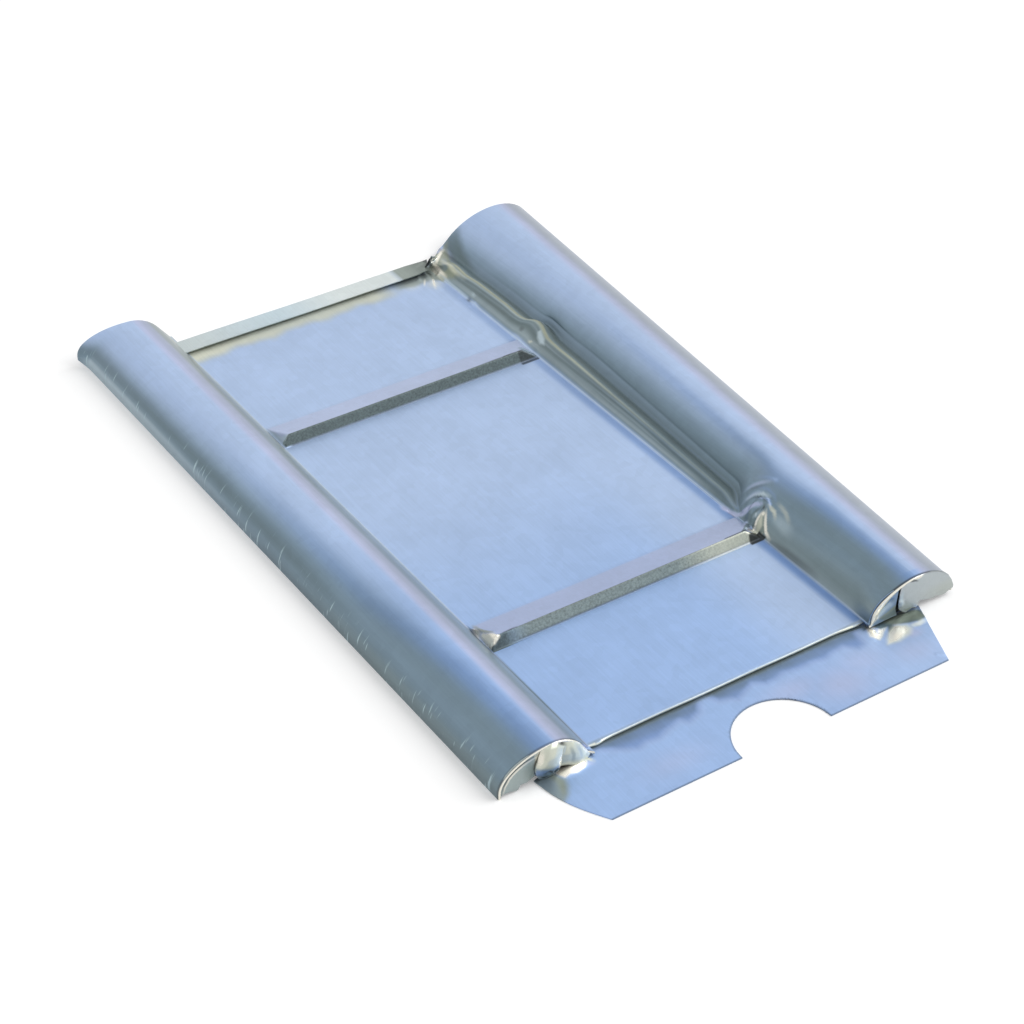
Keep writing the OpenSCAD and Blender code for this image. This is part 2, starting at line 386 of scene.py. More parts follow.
def press_tree(material):
    """Presses the flat blank: rolls, growing bead, cross ridges and flared corner."""
    tree = bpy.data.node_groups.new("press_roof_tile", "GeometryNodeTree")
    tree.interface.new_socket("Geometry", in_out="INPUT", socket_type="NodeSocketGeometry")
    tree.interface.new_socket("Geometry", in_out="OUTPUT", socket_type="NodeSocketGeometry")
    for name, value in PRESS_SIZES.items():
        socket = tree.interface.new_socket(name, in_out="INPUT", socket_type="NodeSocketFloat")
        socket.default_value = value
    size = add(tree, "NodeGroupInput")
    carried = {}
    for name in Blank.FIELDS:
        kind = "FLOAT_VECTOR" if name in Blank.VECTORS else "FLOAT"
        carried[name] = add(tree, "GeometryNodeInputNamedAttribute", {"data_type": kind}, {"Name": name})[0]
    along = carried["along"]
    across = carried["across"]

    # Rolls: the near section turns into the head section along the tile
    share = add(tree, "ShaderNodeMapRange", {}, {0: along, 1: size["Near Edge"], 2: size["Head Edge"]})[0]
    section = add(
        tree, "ShaderNodeMix", {"data_type": "VECTOR"},
        {0: share, 4: carried["near"], 5: carried["head"]},
    )[1]

    # Bead: sets in behind the near ridge, grows, and flattens towards the head edge
    set_in = add(
        tree, "ShaderNodeMapRange", {"interpolation_type": "SMOOTHSTEP"},
        {0: along, 1: size["Bead Start"], 2: size["Bead Set"]},
    )[0]
    run_out = add(tree, "ShaderNodeMapRange", {"interpolation_type": "SMOOTHSTEP"}, {
        0: along, 1: size["Bead Fade"], 2: size["Bead End"], 3: 1.0, 4: size["Bead Last Height"],
    })[0]
    wide = add(tree, "ShaderNodeMapRange", {}, {
        0: along, 1: size["Bead Start"], 2: size["Bead Full"], 3: size["Bead First Width"], 4: 1.0,
    })[0]
    wide = add(tree, "ShaderNodeMath", {"operation": "MULTIPLY"}, {0: wide, 1: set_in})[0]
    tall = add(tree, "ShaderNodeMapRange", {}, {
        0: along, 1: size["Bead Start"], 2: size["Bead Full"], 3: size["Bead First Height"], 4: 1.0,
    })[0]
    for share_of_height in (set_in, run_out, carried["bump"]):
        tall = add(tree, "ShaderNodeMath", {"operation": "MULTIPLY"}, {0: tall, 1: share_of_height})[0]
    footed = add(tree, "ShaderNodeVectorMath", {"operation": "SCALE"}, {0: carried["foot"], 3: wide})[0]

    # Flare of the far left corner
    flare_from = add(
        tree, "ShaderNodeMath", {"operation": "SUBTRACT"},
        {0: size["Head Edge"], 1: size["Corner Flare Length"]},
    )[0]
    opened = add(tree, "ShaderNodeMapRange", {}, {0: along, 1: flare_from, 2: size["Head Edge"]})[0]
    opened = add(tree, "ShaderNodeMath", {"operation": "POWER"}, {0: opened, 1: 1.5})[0]
    flared = add(tree, "ShaderNodeVectorMath", {"operation": "SCALE"}, {0: carried["flare"], 3: opened})[0]

    # One ridge profile, repeated at the pitch
    past = add(tree, "ShaderNodeMath", {"operation": "SUBTRACT"}, {0: along, 1: size["Ridge Start"]})[0]
    number = add(tree, "ShaderNodeMath", {"operation": "DIVIDE"}, {0: past, 1: size["Ridge Pitch"]})[0]
    number = add(tree, "ShaderNodeMath", {"operation": "FLOOR"}, {0: number})[0]
    last = add(tree, "ShaderNodeMath", {"operation": "SUBTRACT"}, {0: size["Ridge Count"], 1: 1.0})[0]
    number = add(tree, "ShaderNodeClamp", {}, {0: number, 1: 0.0, 2: last})[0]
    before = add(tree, "ShaderNodeMath", {"operation": "MULTIPLY"}, {0: number, 1: size["Ridge Pitch"]})[0]
    local = add(tree, "ShaderNodeMath", {"operation": "SUBTRACT"}, {0: past, 1: before})[0]
    ridge_end = add(
        tree, "ShaderNodeMath", {"operation": "ADD"}, {0: size["Ridge Riser"], 1: size["Ridge Ramp"]},
    )[0]
    rise = add(tree, "ShaderNodeMapRange", {"clamp": False}, {
        0: local, 1: 0.0, 2: size["Ridge Riser"], 3: 0.0, 4: size["Ridge Height"],
    })[0]
    fall = add(tree, "ShaderNodeMapRange", {"clamp": False}, {
        0: local, 1: size["Ridge Riser"], 2: ridge_end, 3: size["Ridge Height"], 4: 0.0,
    })[0]
    left_end = add(tree, "ShaderNodeMapRange", {"clamp": False}, {
        0: across, 1: 0.0, 2: size["Left Bevel"], 3: 0.0, 4: size["Ridge Height"],
    })[0]
    from_right = add(tree, "ShaderNodeMath", {"operation": "SUBTRACT"}, {0: size["Pan Width"], 1: across})[0]
    right_end = add(tree, "ShaderNodeMapRange", {"clamp": False}, {
        0: from_right, 1: 0.0, 2: size["Right Bevel"], 3: 0.0, 4: size["Ridge Height"],
    })[0]
    height = rise
    for face in (fall, left_end, right_end):
        height = add(
            tree, "ShaderNodeMath", {"operation": "SMOOTH_MIN"}, {0: height, 1: face, 2: RIDGE_TOP_ROUND},
        )[0]
    height = add(
        tree, "ShaderNodeMath", {"operation": "SMOOTH_MAX"}, {0: height, 1: 0.0, 2: RIDGE_FOOT_ROUND},
    )[0]
    on_skin = add(tree, "ShaderNodeMath", {"operation": "COMPARE"}, {0: carried["drop"], 1: 0.0, 2: 0.001})[0]
    height = add(
        tree, "ShaderNodeMath", {"operation": "MULTIPLY_ADD"},
        {0: height, 1: on_skin, 2: carried["drop"]},
    )[0]
    height = add(tree, "ShaderNodeMath", {"operation": "ADD"}, {0: height, 1: tall})[0]

    # The head edge runs out of square: each station near it moves along by its share
    stretch_from = add(
        tree, "ShaderNodeMath", {"operation": "SUBTRACT"},
        {0: size["Head Edge"], 1: size["Head Stretch"]},
    )[0]
    stretched = add(tree, "ShaderNodeMapRange", {}, {0: along, 1: stretch_from, 2: size["Head Edge"]})[0]
    place_y = add(
        tree, "ShaderNodeMath", {"operation": "MULTIPLY_ADD"},
        {0: carried["run"], 1: stretched, 2: along},
    )[0]
    formed = add(tree, "ShaderNodeCombineXYZ", {}, {1: place_y, 2: height})[0]
    for part in (section, footed, flared):
        formed = add(tree, "ShaderNodeVectorMath", {"operation": "ADD"}, {0: formed, 1: part})[0]
    metres = add(
        tree, "ShaderNodeVectorMath", {"operation": "MULTIPLY_ADD"},
        {0: formed, 1: (MM, MM, MM), 2: tuple(ORIGIN)},
    )[0]
    placed = add(tree, "GeometryNodeSetPosition", {}, {"Geometry": size["Geometry"], "Position": metres})[0]
    real = add(tree, "GeometryNodeRealizeInstances", {}, {0: placed})[0]
    coated = add(tree, "GeometryNodeSetMaterial", {}, {"Geometry": real, "Material": material})[0]
    add(tree, "NodeGroupOutput", {}, {0: coated})
    return tree


def new_piece(name, mesh):
    piece = bpy.data.objects.new(name, mesh)
    bpy.context.scene.collection.objects.link(piece)
    return piece


def pressed(blank_piece, tree, sizes):
    """Runs the press on the blank with its sizes set, and keeps the result as a plain mesh."""
    press = blank_piece.modifiers.new("press", "NODES")
    press.node_group = tree
    for socket in tree.interface.items_tree:
        if socket.in_out == "INPUT" and socket.name in sizes:
            press[socket.identifier] = sizes[socket.name]
    graph = bpy.context.evaluated_depsgraph_get()
    mesh = bpy.data.meshes.new_from_object(blank_piece.evaluated_get(graph), depsgraph=graph)
    bpy.data.objects.remove(blank_piece)
    return mesh


# ---------------------------------------------------------------- hand forming

FOLD_FADE = 0.15

# Plain zinc at the head and near the hem, and the scuffs' colour
HEAD_ZINC = "#AABFDF"
NEAR_ZINC = "#99B5DF"
SCUFFED_ZINC = "#A9C0C8"

# Coats over the plain zinc from the lowest to the topmost, with their colours.
# Most of them are painted light: reflections, highlights, shade and shadow put into the colour.
COATS = (
    ("violet", "#B4BAD8"), ("grey", "#858F9A"), ("teal", "#7C93A4"), ("deep", "#688ABE"),
    ("painted_shade", "#5C6E72"), ("olive", "#8D947E"), ("pale", "#BFD0D8"), ("glow", "#E4E4CE"),
    ("painted_highlight", "#F4F0E2"), ("dark", "#23282A"),
)
LAYERS = [name for name, code in COATS]
TONES = ["near_zinc_share", *LAYERS, "speckle", "scuffed"]


def sharp_rim(mesh):
    """Marks the free edges sharp, so that the cut edge doesn't shade into the skin."""
    beside = np.empty(len(mesh.loops), int)
    mesh.loops.foreach_get("edge_index", beside)
    free = np.bincount(beside, minlength=len(mesh.edges)) == 1
    mark = mesh.attributes.get("sharp_edge") or mesh.attributes.new("sharp_edge", "BOOLEAN", "EDGE")
    mark.data.foreach_set("value", free)


def write_tones(mesh, tones):
    """Keeps each tone as an attribute on the mesh's points."""
    for name, values in tones.items():
        field = mesh.attributes.new(name, "FLOAT", "POINT")
        field.data.foreach_set("value", np.clip(values, 0, 1))


def thicken(piece, share=1.0):
    """Gives a skin the sheet's thickness, or a share of it, on its hidden side."""
    thick = piece.modifiers.new("sheet_thickness", "SOLIDIFY")
    thick.thickness = SHEET * share * MM
    thick.offset = -1.0


# The way up, and the two measures that are seen from the front
UP = (0, 0, 1)
FRONT = (0, 2)


class Sheet:
    """Points, normals and tones of a mesh in the tile's own measure, for dents and folds."""

    def __init__(self, mesh):
        self.mesh = mesh
        place = np.empty(len(mesh.vertices) * 3)
        mesh.vertices.foreach_get("co", place)
        self.p = (place.reshape(-1, 3) - ORIGIN) / MM
        corners = np.empty(len(mesh.polygons) * 4, int)
        mesh.polygons.foreach_get("vertices", corners)
        self.quads = corners.reshape(-1, 4)
        self.tone = {name: np.zeros(len(self.p)) for name in TONES}
        self.settle()

    def settle(self):
        """Works the normals out again after the points have moved."""
        a, b, c, d = [self.p[self.quads[:, i]] for i in range(4)]
        n = np.cross(c - a, d - b)
        total = np.zeros_like(self.p)
        for i in range(4):
            np.add.at(total, self.quads[:, i], n)
        size = np.linalg.norm(total, axis=1)
        self.n = total / np.maximum(size, 1e-9)[:, None]

    def read(self, name):
        """Values that the blank carried through the press."""
        values = np.empty(len(self.p))
        self.mesh.attributes[name].data.foreach_get("value", values)
        return values

    def near(self, centre, radii):
        """Bell that is 1 at a place and fades over the radii."""
        d = (self.p - np.array(centre, float)) / np.array(radii, float)
        return np.exp(-(d * d).sum(axis=1))

    def line(self, a, b, width):
        """Tent along a line from a to b that fades over the last part at each end."""
        a = np.array(a, float)
        run = np.array(b, float) - a
        t = ((self.p - a) @ run) / (run @ run)
        d = np.linalg.norm(self.p - a - np.clip(t, 0, 1)[:, None] * run, axis=1)
        ends = ramp01(t, -0.02, FOLD_FADE) * fade(t, 1 - FOLD_FADE, 1.02)
        return np.clip(1 - d / width, 0, 1) * ends

    def push(self, amount, way=None):
        """Moves each point by its amount, along its normal or one way."""
        self.p += (self.n if way is None else np.array(way, float)) * amount[:, None]

    def dent(self, centre, radii, height, way=None, where=1.0):
        """A rounded dent, or a bulge where the height is positive."""
        self.push(self.near(centre, radii) * height * where, way)

    def fold(self, a, b, width, height, way=None, where=1.0):
        """A sharp fold along a line."""
        self.push(self.line(a, b, width) * height * where, way)

    def lift(self, points, width, height, where):
        """Raises a soft rib of some width along a line of corners on the plan."""
        self.p[:, 2] += height * fade(self.reach(points), *width) * where

    def crumple(self, centre, radii, height, seed, folds=5, where=1.0, way=None):
        """Crosses several sharp folds at random angles inside a fading patch."""
        rng = np.random.default_rng(seed)
        d = (self.p - np.array(centre, float)) / np.array(radii, float)
        rise = np.zeros(len(self.p))
        for _ in range(folds):
            across = rng.normal(size=3)
            across /= np.linalg.norm(across)
            rise += rng.choice([-1.0, 1.0]) * np.abs(d @ across - rng.uniform(-0.5, 0.5))
        self.push(self.near(centre, radii) * rise * where * height / folds ** 0.5, way)

    def follow(self, points, flat=(0, 1)):
        """How far each point is from a line of corners, and how far along it, 0 to 1.

        Both are seen on the plan or on another plane.
        """
        p = self.p[:, flat]
        q = np.array(points, float)
        nearest = np.full(len(p), 1e9)
        at = np.zeros(len(p))
        walked = 0.0
        for a, b in zip(q[:-1], q[1:]):
            run = b - a
            length = np.linalg.norm(run)
            t = np.clip((p - a) @ run / (run @ run), 0, 1)
            d = np.linalg.norm(p - a - t[:, None] * run, axis=1)
            closer = d < nearest
            nearest[closer] = d[closer]
            at[closer] = walked + t[closer] * length
            walked += length
        return nearest, at / walked

    def reach(self, points, flat=(0, 1)):
        """How far each point is from a line of corners."""
        return self.follow(points, flat)[0]

    def inside(self, outline, flat=(0, 1)):
        """Which points lie inside an outline, seen on the plan or another plane."""
        p = self.p[:, flat]
        q = np.array(outline, float)
        within = np.zeros(len(p), bool)
        for a, b in zip(q, np.roll(q, -1, axis=0)):
            crosses = (a[1] > p[:, 1]) != (b[1] > p[:, 1])
            at = a[0] + (b[0] - a[0]) * (p[:, 1] - a[1]) / ((b[1] - a[1]) or 1e-9)
            within ^= crosses & (p[:, 0] < at)
        return within

    def paint(self, name, values):
        """Adds a tone where it is stronger than what is there."""
        self.tone[name] = np.maximum(self.tone[name], values)

    def cover(self, name, values):
        """Paints over what is already there: coats that would hide this one give way."""
        for other in LAYERS[LAYERS.index(name) + 1:]:
            self.tone[other] = self.tone[other] * (1 - values)
        self.paint(name, values)

    def spots(self, name, where, *marks):
        """Paints soft spots given as (place, radii, strength)."""
        for centre, radii, strength in marks:
            self.paint(name, self.near(centre, radii) * strength * where)

    def trace(self, name, points, width, strength=1.0, where=1.0, flat=(0, 1)):
        """Covers a line of corners with one tone, soft at its edges and running out at its ends."""
        d, at = self.follow(points, flat)
        taper = np.sin(np.pi * np.clip(at, 0.04, 0.96)) ** 0.6
        self.cover(name, strength * taper * fade(d, 0.2 * width, width) * where)

    def patch(self, name, outline, strength=1.0, soft=0.6, where=1.0, flat=(0, 1)):
        """Covers the inside of an outline with one tone, soft over its border."""
        d = self.reach(list(outline) + [outline[0]], flat)
        signed = np.where(self.inside(outline, flat), d, -d)
        self.cover(name, strength * ramp01(signed, -soft, soft) * where)

    def finish(self):
        """Writes places and tones back, and leaves nothing else on the mesh."""
        self.mesh.vertices.foreach_set("co", to_metres(self.p).ravel())
        write_tones(self.mesh, self.tone)
        self.mesh.update()
        self.mesh.shade_smooth()
        sharp_rim(self.mesh)

    def cut_out(self, name, faces):
        """A mesh of some of the faces, with their points, tones and material."""
        used, corners = np.unique(self.quads[faces], return_inverse=True)
        mesh = bpy.data.meshes.new(name)
        mesh.from_pydata(
            [tuple(q) for q in to_metres(self.p[used])], [], [tuple(q) for q in corners.reshape(-1, 4)],
        )
        write_tones(mesh, {tone: values[used] for tone, values in self.tone.items()})
        mesh.materials.append(self.mesh.materials[0])
        mesh.shade_smooth()
        sharp_rim(mesh)
        return mesh


# ---------------------------------------------------------------- materials

# Weathered zinc mirrors about half as much as clean metal
METALLIC = 0.5


def new_material(name):
    material = bpy.data.materials.new(name)
    material.use_nodes = True
    material.node_tree.nodes.clear()
    return material, material.node_tree


def galvanised_sheet():
    """Hot-dip galvanised steel, cold rolled and skin passed, then pressed.

    The eye sees a satin blue-grey zinc skin with a faint cloudy spangle a few
    millimetres across, fine rolling grain along the sheet and short pale scuffs low
    on the outer side of the left roll. The tone coats paint reflections, highlights
    and shade into the colour: painted shade on the flanks and in hollows, painted
    highlights on the tight folds.
    """
    material, tree = new_material("galvanised_rolled_steel")
    place = add(tree, "ShaderNodeTexCoord")["Object"]
    masks = {}
    for name in TONES:
        masks[name] = add(tree, "ShaderNodeAttribute", {"attribute_name": name})["Fac"]

    # Clouds of thicker zinc, about 45 mm across
    cloud = add(tree, "ShaderNodeTexNoise", {}, {
        "Vector": place, "Scale": 1 / 0.045, "Detail": 3.0, "Roughness": 0.55,
    })["Fac"]
    # Faint spangle, about 5 mm a crystal
    crystals = add(
        tree, "ShaderNodeTexVoronoi", {"feature": "F1"},
        {"Vector": place, "Scale": 1 / 0.005, "Randomness": 1.0},
    )["Color"]
    spangle = add(tree, "ShaderNodeSeparateColor", {}, {0: crystals})[0]
    # Rolling grain along the sheet: 0.5 mm across, drawn a little coarse so that it shows
    stretched = add(tree, "ShaderNodeMapping", {"vector_type": "POINT"}, {
        "Vector": place, "Scale": (1 / 0.0009, 1 / 0.030, 1 / 0.0009),
    })[0]
    grain = add(tree, "ShaderNodeTexNoise", {}, {
        "Vector": stretched, "Scale": 1.0, "Detail": 2.0, "Roughness": 0.6,
    })["Fac"]
    # Grit of the speckled zinc, about 1 mm
    grit = add(tree, "ShaderNodeTexNoise", {}, {
        "Vector": place, "Scale": 1 / 0.0012, "Detail": 2.0, "Roughness": 0.7,
    })["Fac"]

    colour = add(tree, "ShaderNodeMix", {"data_type": "RGBA"}, {
        0: masks["near_zinc_share"], 6: linear(HEAD_ZINC), 7: linear(NEAR_ZINC),
    })[2]
    for name, code in COATS:
        colour = add(
            tree, "ShaderNodeMix", {"data_type": "RGBA"}, {0: masks[name], 6: colour, 7: linear(code)},
        )[2]

    # Light and dark of the pattern layers, multiplied over the coat
    level = 1.0
    for layer, swing in ((cloud, 0.11), (spangle, 0.025), (grain, 0.08)):
        shade = add(tree, "ShaderNodeMapRange", {"clamp": False}, {0: layer, 3: 1 - swing, 4: 1 + swing})[0]
        level = add(tree, "ShaderNodeMath", {"operation": "MULTIPLY"}, {0: level, 1: shade})[0]
    speckle = add(tree, "ShaderNodeMapRange", {"clamp": False}, {0: grit, 3: -0.8, 4: 0.8})[0]
    speckle = add(tree, "ShaderNodeMath", {"operation": "MULTIPLY"}, {0: speckle, 1: masks["speckle"]})[0]
    speckle = add(tree, "ShaderNodeMath", {"operation": "ADD"}, {0: speckle, 1: 1.0})[0]
    level = add(tree, "ShaderNodeMath", {"operation": "MULTIPLY"}, {0: level, 1: speckle})[0]
    level = add(tree, "ShaderNodeCombineColor", {}, {0: level, 1: level, 2: level})[0]
    colour = add(
        tree, "ShaderNodeMix", {"data_type": "RGBA", "blend_type": "MULTIPLY"},
        {0: 1.0, 6: colour, 7: level},
    )[2]

    # Scuffs across the roll: thin pale strokes, 1 mm wide and 8 mm long
    scuff_place = add(tree, "ShaderNodeMapping", {"vector_type": "POINT"}, {
        "Vector": place, "Rotation": (0.35, 0.0, 0.0), "Scale": (1 / 0.012, 1 / 0.0016, 1 / 0.012),
    })[0]
    scuff = add(tree, "ShaderNodeTexNoise", {}, {
        "Vector": scuff_place, "Scale": 1.0, "Detail": 1.0, "Roughness": 0.5,
    })["Fac"]
    scuff = add(
        tree, "ShaderNodeMapRange", {"interpolation_type": "SMOOTHSTEP"}, {0: scuff, 1: 0.64, 2: 0.74},
    )[0]
    scuff = add(tree, "ShaderNodeMath", {"operation": "MULTIPLY"}, {0: scuff, 1: masks["scuffed"]})[0]
    colour = add(
        tree, "ShaderNodeMix", {"data_type": "RGBA"}, {0: scuff, 6: colour, 7: linear(SCUFFED_ZINC)},
    )[2]

    # Satin, glossier where highlights are painted on the folds
    rough = add(tree, "ShaderNodeMapRange", {"clamp": False}, {0: cloud, 3: 0.34, 4: 0.46})[0]
    rough = add(
        tree, "ShaderNodeMath", {"operation": "MULTIPLY_ADD"}, {0: masks["painted_highlight"], 1: -0.16, 2: rough},
    )[0]
    relief = add(tree, "ShaderNodeMath", {"operation": "MULTIPLY_ADD"}, {0: grit, 1: 0.4, 2: grain})[0]
    bump = add(tree, "ShaderNodeBump", {}, {"Strength": 0.25, "Distance": 0.00006, "Height": relief})[0]
    shader = add(tree, "ShaderNodeBsdfPrincipled", {}, {
        "Base Color": colour, "Metallic": METALLIC, "Roughness": rough, "Normal": bump,
    })[0]
    add(tree, "ShaderNodeOutputMaterial", {}, {"Surface": shader})
    return material


steel = galvanised_sheet()

# ---------------------------------------------------------------- camera and light

PALE = (1.0, 1.0, 1.0, 1.0)
scene = bpy.context.scene
scene.view_settings.view_transform = "Standard"

AIM = to_metres([72.8, 174.5, 0.0])
DISTANCE = 1.2717
BEARING = math.radians(33.36)
RISE = math.radians(36.566)
ROLL = math.radians(0.151)
LENS = 83.52

ahead = Vector((math.sin(BEARING) * math.cos(RISE), math.cos(BEARING) * math.cos(RISE), -math.sin(RISE)))
side = ahead.cross(Vector((0, 0, 1))).normalized()
up = side.cross(ahead)
turned_side = side * math.cos(ROLL) - up * math.sin(ROLL)
turned_up = up * math.cos(ROLL) + side * math.sin(ROLL)
camera_data = bpy.data.cameras.new("camera")
camera_data.lens = LENS
camera_data.sensor_width = 36.0
camera_data.clip_start = 0.01
camera = bpy.data.objects.new("camera", camera_data)
scene.collection.objects.link(camera)
axes = Matrix((turned_side, turned_up, -ahead)).transposed()
camera.matrix_world = Matrix.Translation(Vector(AIM) - ahead * DISTANCE) @ axes.to_4x4()
scene.camera = camera


def shown(tree):
    """1 for rays that show the background: camera, glossy and transmission rays."""
    path = add(tree, "ShaderNodeLightPath")
    first = add(
        tree, "ShaderNodeMath", {"operation": "MAXIMUM"},
        {0: path["Is Camera Ray"], 1: path["Is Glossy Ray"]},
    )[0]
    return add(
        tree, "ShaderNodeMath", {"operation": "MAXIMUM"}, {0: first, 1: path["Is Transmission Ray"]},
    )[0]


SKY = 0.60
FLOOR_TONE = (0.86, 0.86, 0.86, 1.0)
FLOOR_GLOW = 0.22
FLOOR_REACH = 30.0
# The floor lies a hair under the sheet, so that no two faces share a plane
FLOOR_Z = low.z - 0.00002
world = bpy.data.worlds.new("white_studio")
scene.world = world
world.use_nodes = True
world.node_tree.nodes.clear()
strength = add(world.node_tree, "ShaderNodeMapRange", {}, {
    0: shown(world.node_tree), 1: 0.0, 2: 1.0, 3: SKY, 4: 1.0,
})[0]
background = add(world.node_tree, "ShaderNodeBackground", {}, {0: PALE, 1: strength})[0]
add(world.node_tree, "ShaderNodeOutputWorld", {}, {0: background})

floor_material, tree = new_material("white_paper_floor")
# The floor takes the shadow as plain paper does, and shows white to the camera and in mirrors
diffuse = add(tree, "ShaderNodeBsdfDiffuse", {}, {0: FLOOR_TONE})[0]
glow_level = add(tree, "ShaderNodeMath", {"operation": "MULTIPLY"}, {0: shown(tree), 1: FLOOR_GLOW})[0]
glow = add(tree, "ShaderNodeEmission", {}, {0: PALE, 1: glow_level})[0]
both = add(tree, "ShaderNodeAddShader", {}, {0: diffuse, 1: glow})[0]
add(tree, "ShaderNodeOutputMaterial", {}, {0: both})
floor_mesh = bpy.data.meshes.new("floor")
corners = [(a * FLOOR_REACH, b * FLOOR_REACH, FLOOR_Z) for a, b in ((-1, -1), (1, -1), (1, 1), (-1, 1))]
floor_mesh.from_pydata(corners, [], [(0, 1, 2, 3)])
floor_mesh.materials.append(floor_material)
floor = new_piece("floor", floor_mesh)


def soft_sun(name, towards, strength, spread_angle):
    """A wide soft light that comes from a direction."""
    lamp = bpy.data.lights.new(name, "SUN")
    lamp.energy = strength
    lamp.angle = math.radians(spread_angle)
    holder = bpy.data.objects.new(name, lamp)
    scene.collection.objects.link(holder)
    holder.rotation_euler = Vector(towards).to_track_quat("Z", "Y").to_euler()
    return holder


soft_sun("key", (0.75, -0.25, 0.62), 2.0, 50)

# ---------------------------------------------------------------- tile body

blank = new_piece("tile_blank", Blank().mesh())
work = Sheet(pressed(blank, press_tree(steel), PRESS_SIZES))
turn = work.read("turn")
along = work.read("along")
drop = work.read("drop")
across = work.read("across")
place = work.read("place")

# Parts of the tile
on_skin = np.abs(drop) < 0.001
right_side = across > PAN_W - 0.5
left_side = turn < 0
pan_side = np.logical_and(~right_side, ~left_side)
main_pan = pan_side * on_skin
strip = pan_side * (drop > 0.1)
right_part = 1.0 * (across > RIGHT_SEAM)
station = np.round(turn * (len(right_near) - 1)) * right_side

# The right roll's flank stands fuller where its near end is folded shut
near_part = fade(along, -3.0, 14.0)
full = np.sin(np.pi * np.clip(work.p[:, 2] / RIGHT_H, 0, 1)) * right_side * (work.n[:, 0] < 0.1)
work.p[:, 0] -= 3.6 * full * near_part
work.settle()

# The bead swings out round the end of the far ridge and comes back
plain_facing = work.n[:, 0].copy()
swing = np.interp(
    along, (284, 292, 299, 305, 312, 317, 320, 323, 326, 331),
    (0, 0.4, 1.2, 3.2, 6.0, 6.7, 5.6, 2.4, 1.2, 0.6),
)
swing += np.interp(along, (331, 345, 375, 386, 396, 404), (0, 0.8, 0.6, -0.6, 0.4, 0.8))
sway = np.interp(place, (0, 0.15, 0.35, 0.6), (0, 0.4, 0.8, 1.0))
sway = np.where(place < 0.6, sway, bell(place, 0.6, 0.78))
work.p[:, 0] += 1.02 * swing * sway * right_side
work.settle()
work.dent((175.5, 306, 2), (4.5, 9, 8), -1.8, way=UP, where=right_side)
work.fold((172.5, 296, 2), (173.5, 316, 2), 2.0, 0.9, way=UP, where=right_side)
work.settle()

# Knob at the right end of the near ridge: its crest is gathered up the flank in a hook
hook = work.reach([(165, 90), (170.5, 95.5), (175.5, 98.5), (179.5, 98), (181, 94.5), (179.5, 91)])
work.dent((174, 91.5, 5), (4.6, 5, 9), 2.2, way=(0, -0.2, 1), where=right_part)
work.p[:, 2] += 1.5 * fade(hook, 0.4, 2.8) * right_part
for corners, width, height in (
    ([(181.5, 108), (184, 104.5), (185, 99.5), (184.5, 94), (182, 89)], (0.3, 2.6), 0.4),
    ([(185, 115), (187.5, 111), (190, 106), (191.5, 102)], (0.3, 3.4), 0.3),
    ([(170.5, 110), (171.4, 105.3), (175, 104.5)], (0.3, 2.6), -0.8),
):
    work.lift(corners, width, height, right_part)
work.settle()

# Crumpled facet at the left end of the near ridge
work.dent((3, 88.5, 2), (3, 3.6, 6), 1.5, way=(0.2, 0, 1), where=main_pan)
work.fold((1.6, 106, 0), (1.4, 85, 0), 1.5, -1.3, way=UP)
work.fold((2, 101, 1), (6.5, 88, 6), 1.6, 0.8, way=UP, where=main_pan)
work.settle()

# Far right corner, where the bead runs out into the folded head edge
head_end = right_side * ramp01(along, 402, 424)
low_part = fade(work.p[:, 0] - PAN_W, 12, 24)
work.p[:, 2] -= np.maximum(work.p[:, 2] - 1.5, 0) * 0.35 * head_end * low_part
work.p[:, 1] -= 10.5 * ramp01(along, 420, HEAD_Y) * right_side * fade(work.p[:, 0] - PAN_W, 2, 19)
work.settle()
work.fold((170.5, 412, 2), (188, 430, 9), 2.6, 1.2, where=right_side)
work.fold((171.5, 424, 3), (178, 398, 6), 2.4, 1.1, where=right_side)
work.fold((173, 421, 3), (171, 404, 1), 1.8, -1.0, where=right_side)
work.crumple((174, 418, 4), (6, 9, 7), 1.2, 7, where=right_side)
work.dent((170.5, 419, 3), (2.4, 4, 4), 1.6, way=UP)
work.fold((168, 424, 1), (163, 398, 0), 2.2, 0.8, way=UP, where=main_pan)
work.fold((166, 424, 1), (157, 404, 0), 2.2, 0.6, way=UP, where=main_pan)
work.fold((169, 420, 1), (168.5, 396, 0), 1.8, 0.7, way=UP, where=main_pan)
work.dent((165, 416, 2), (4, 9, 6), 0.6, way=UP, where=strip)
work.crumple((163, 416, 2), (7, 8, 6), 0.9, 11, where=strip)
work.p[:, 2] += 0.10 * np.sin(work.p[:, 0] / 17.0) * strip
work.p[:, 0] -= 3.4 * fade(work.p[:, 0], -1, 6) * strip
work.p[:, 0] += 1.0 * strip * ramp01(work.p[:, 0], 150, PAN_W)
corner = strip * ramp01(work.p[:, 0], 156, PAN_W)
work.p[:, 0] += corner * (4.6 - 7.0 * np.clip((PAN_L - work.p[:, 1]) / HEAD_FOLD, 0, 1))
work.p[:, 1] -= 1.5 * corner * (along - 409) / 14.0
work.p[:, 2] += 0.3 * corner ** 1.5
pinch = right_side * ramp01(along, 419, 431) * bell(work.p[:, 0] - PAN_W, 2.6, 4.6)
work.p[:, 2] += 6.6 * pinch
work.dent((170, 363, 0), (1.8, 2.6, 3), 1.0, way=UP)
by_crease = np.clip(1 - np.abs(work.p[:, 0] - PAN_W) / 15.0, 0, 1)
work.p[:, 0] -= 3.4 * by_crease * ramp01(along, 382, 430)
work.settle()

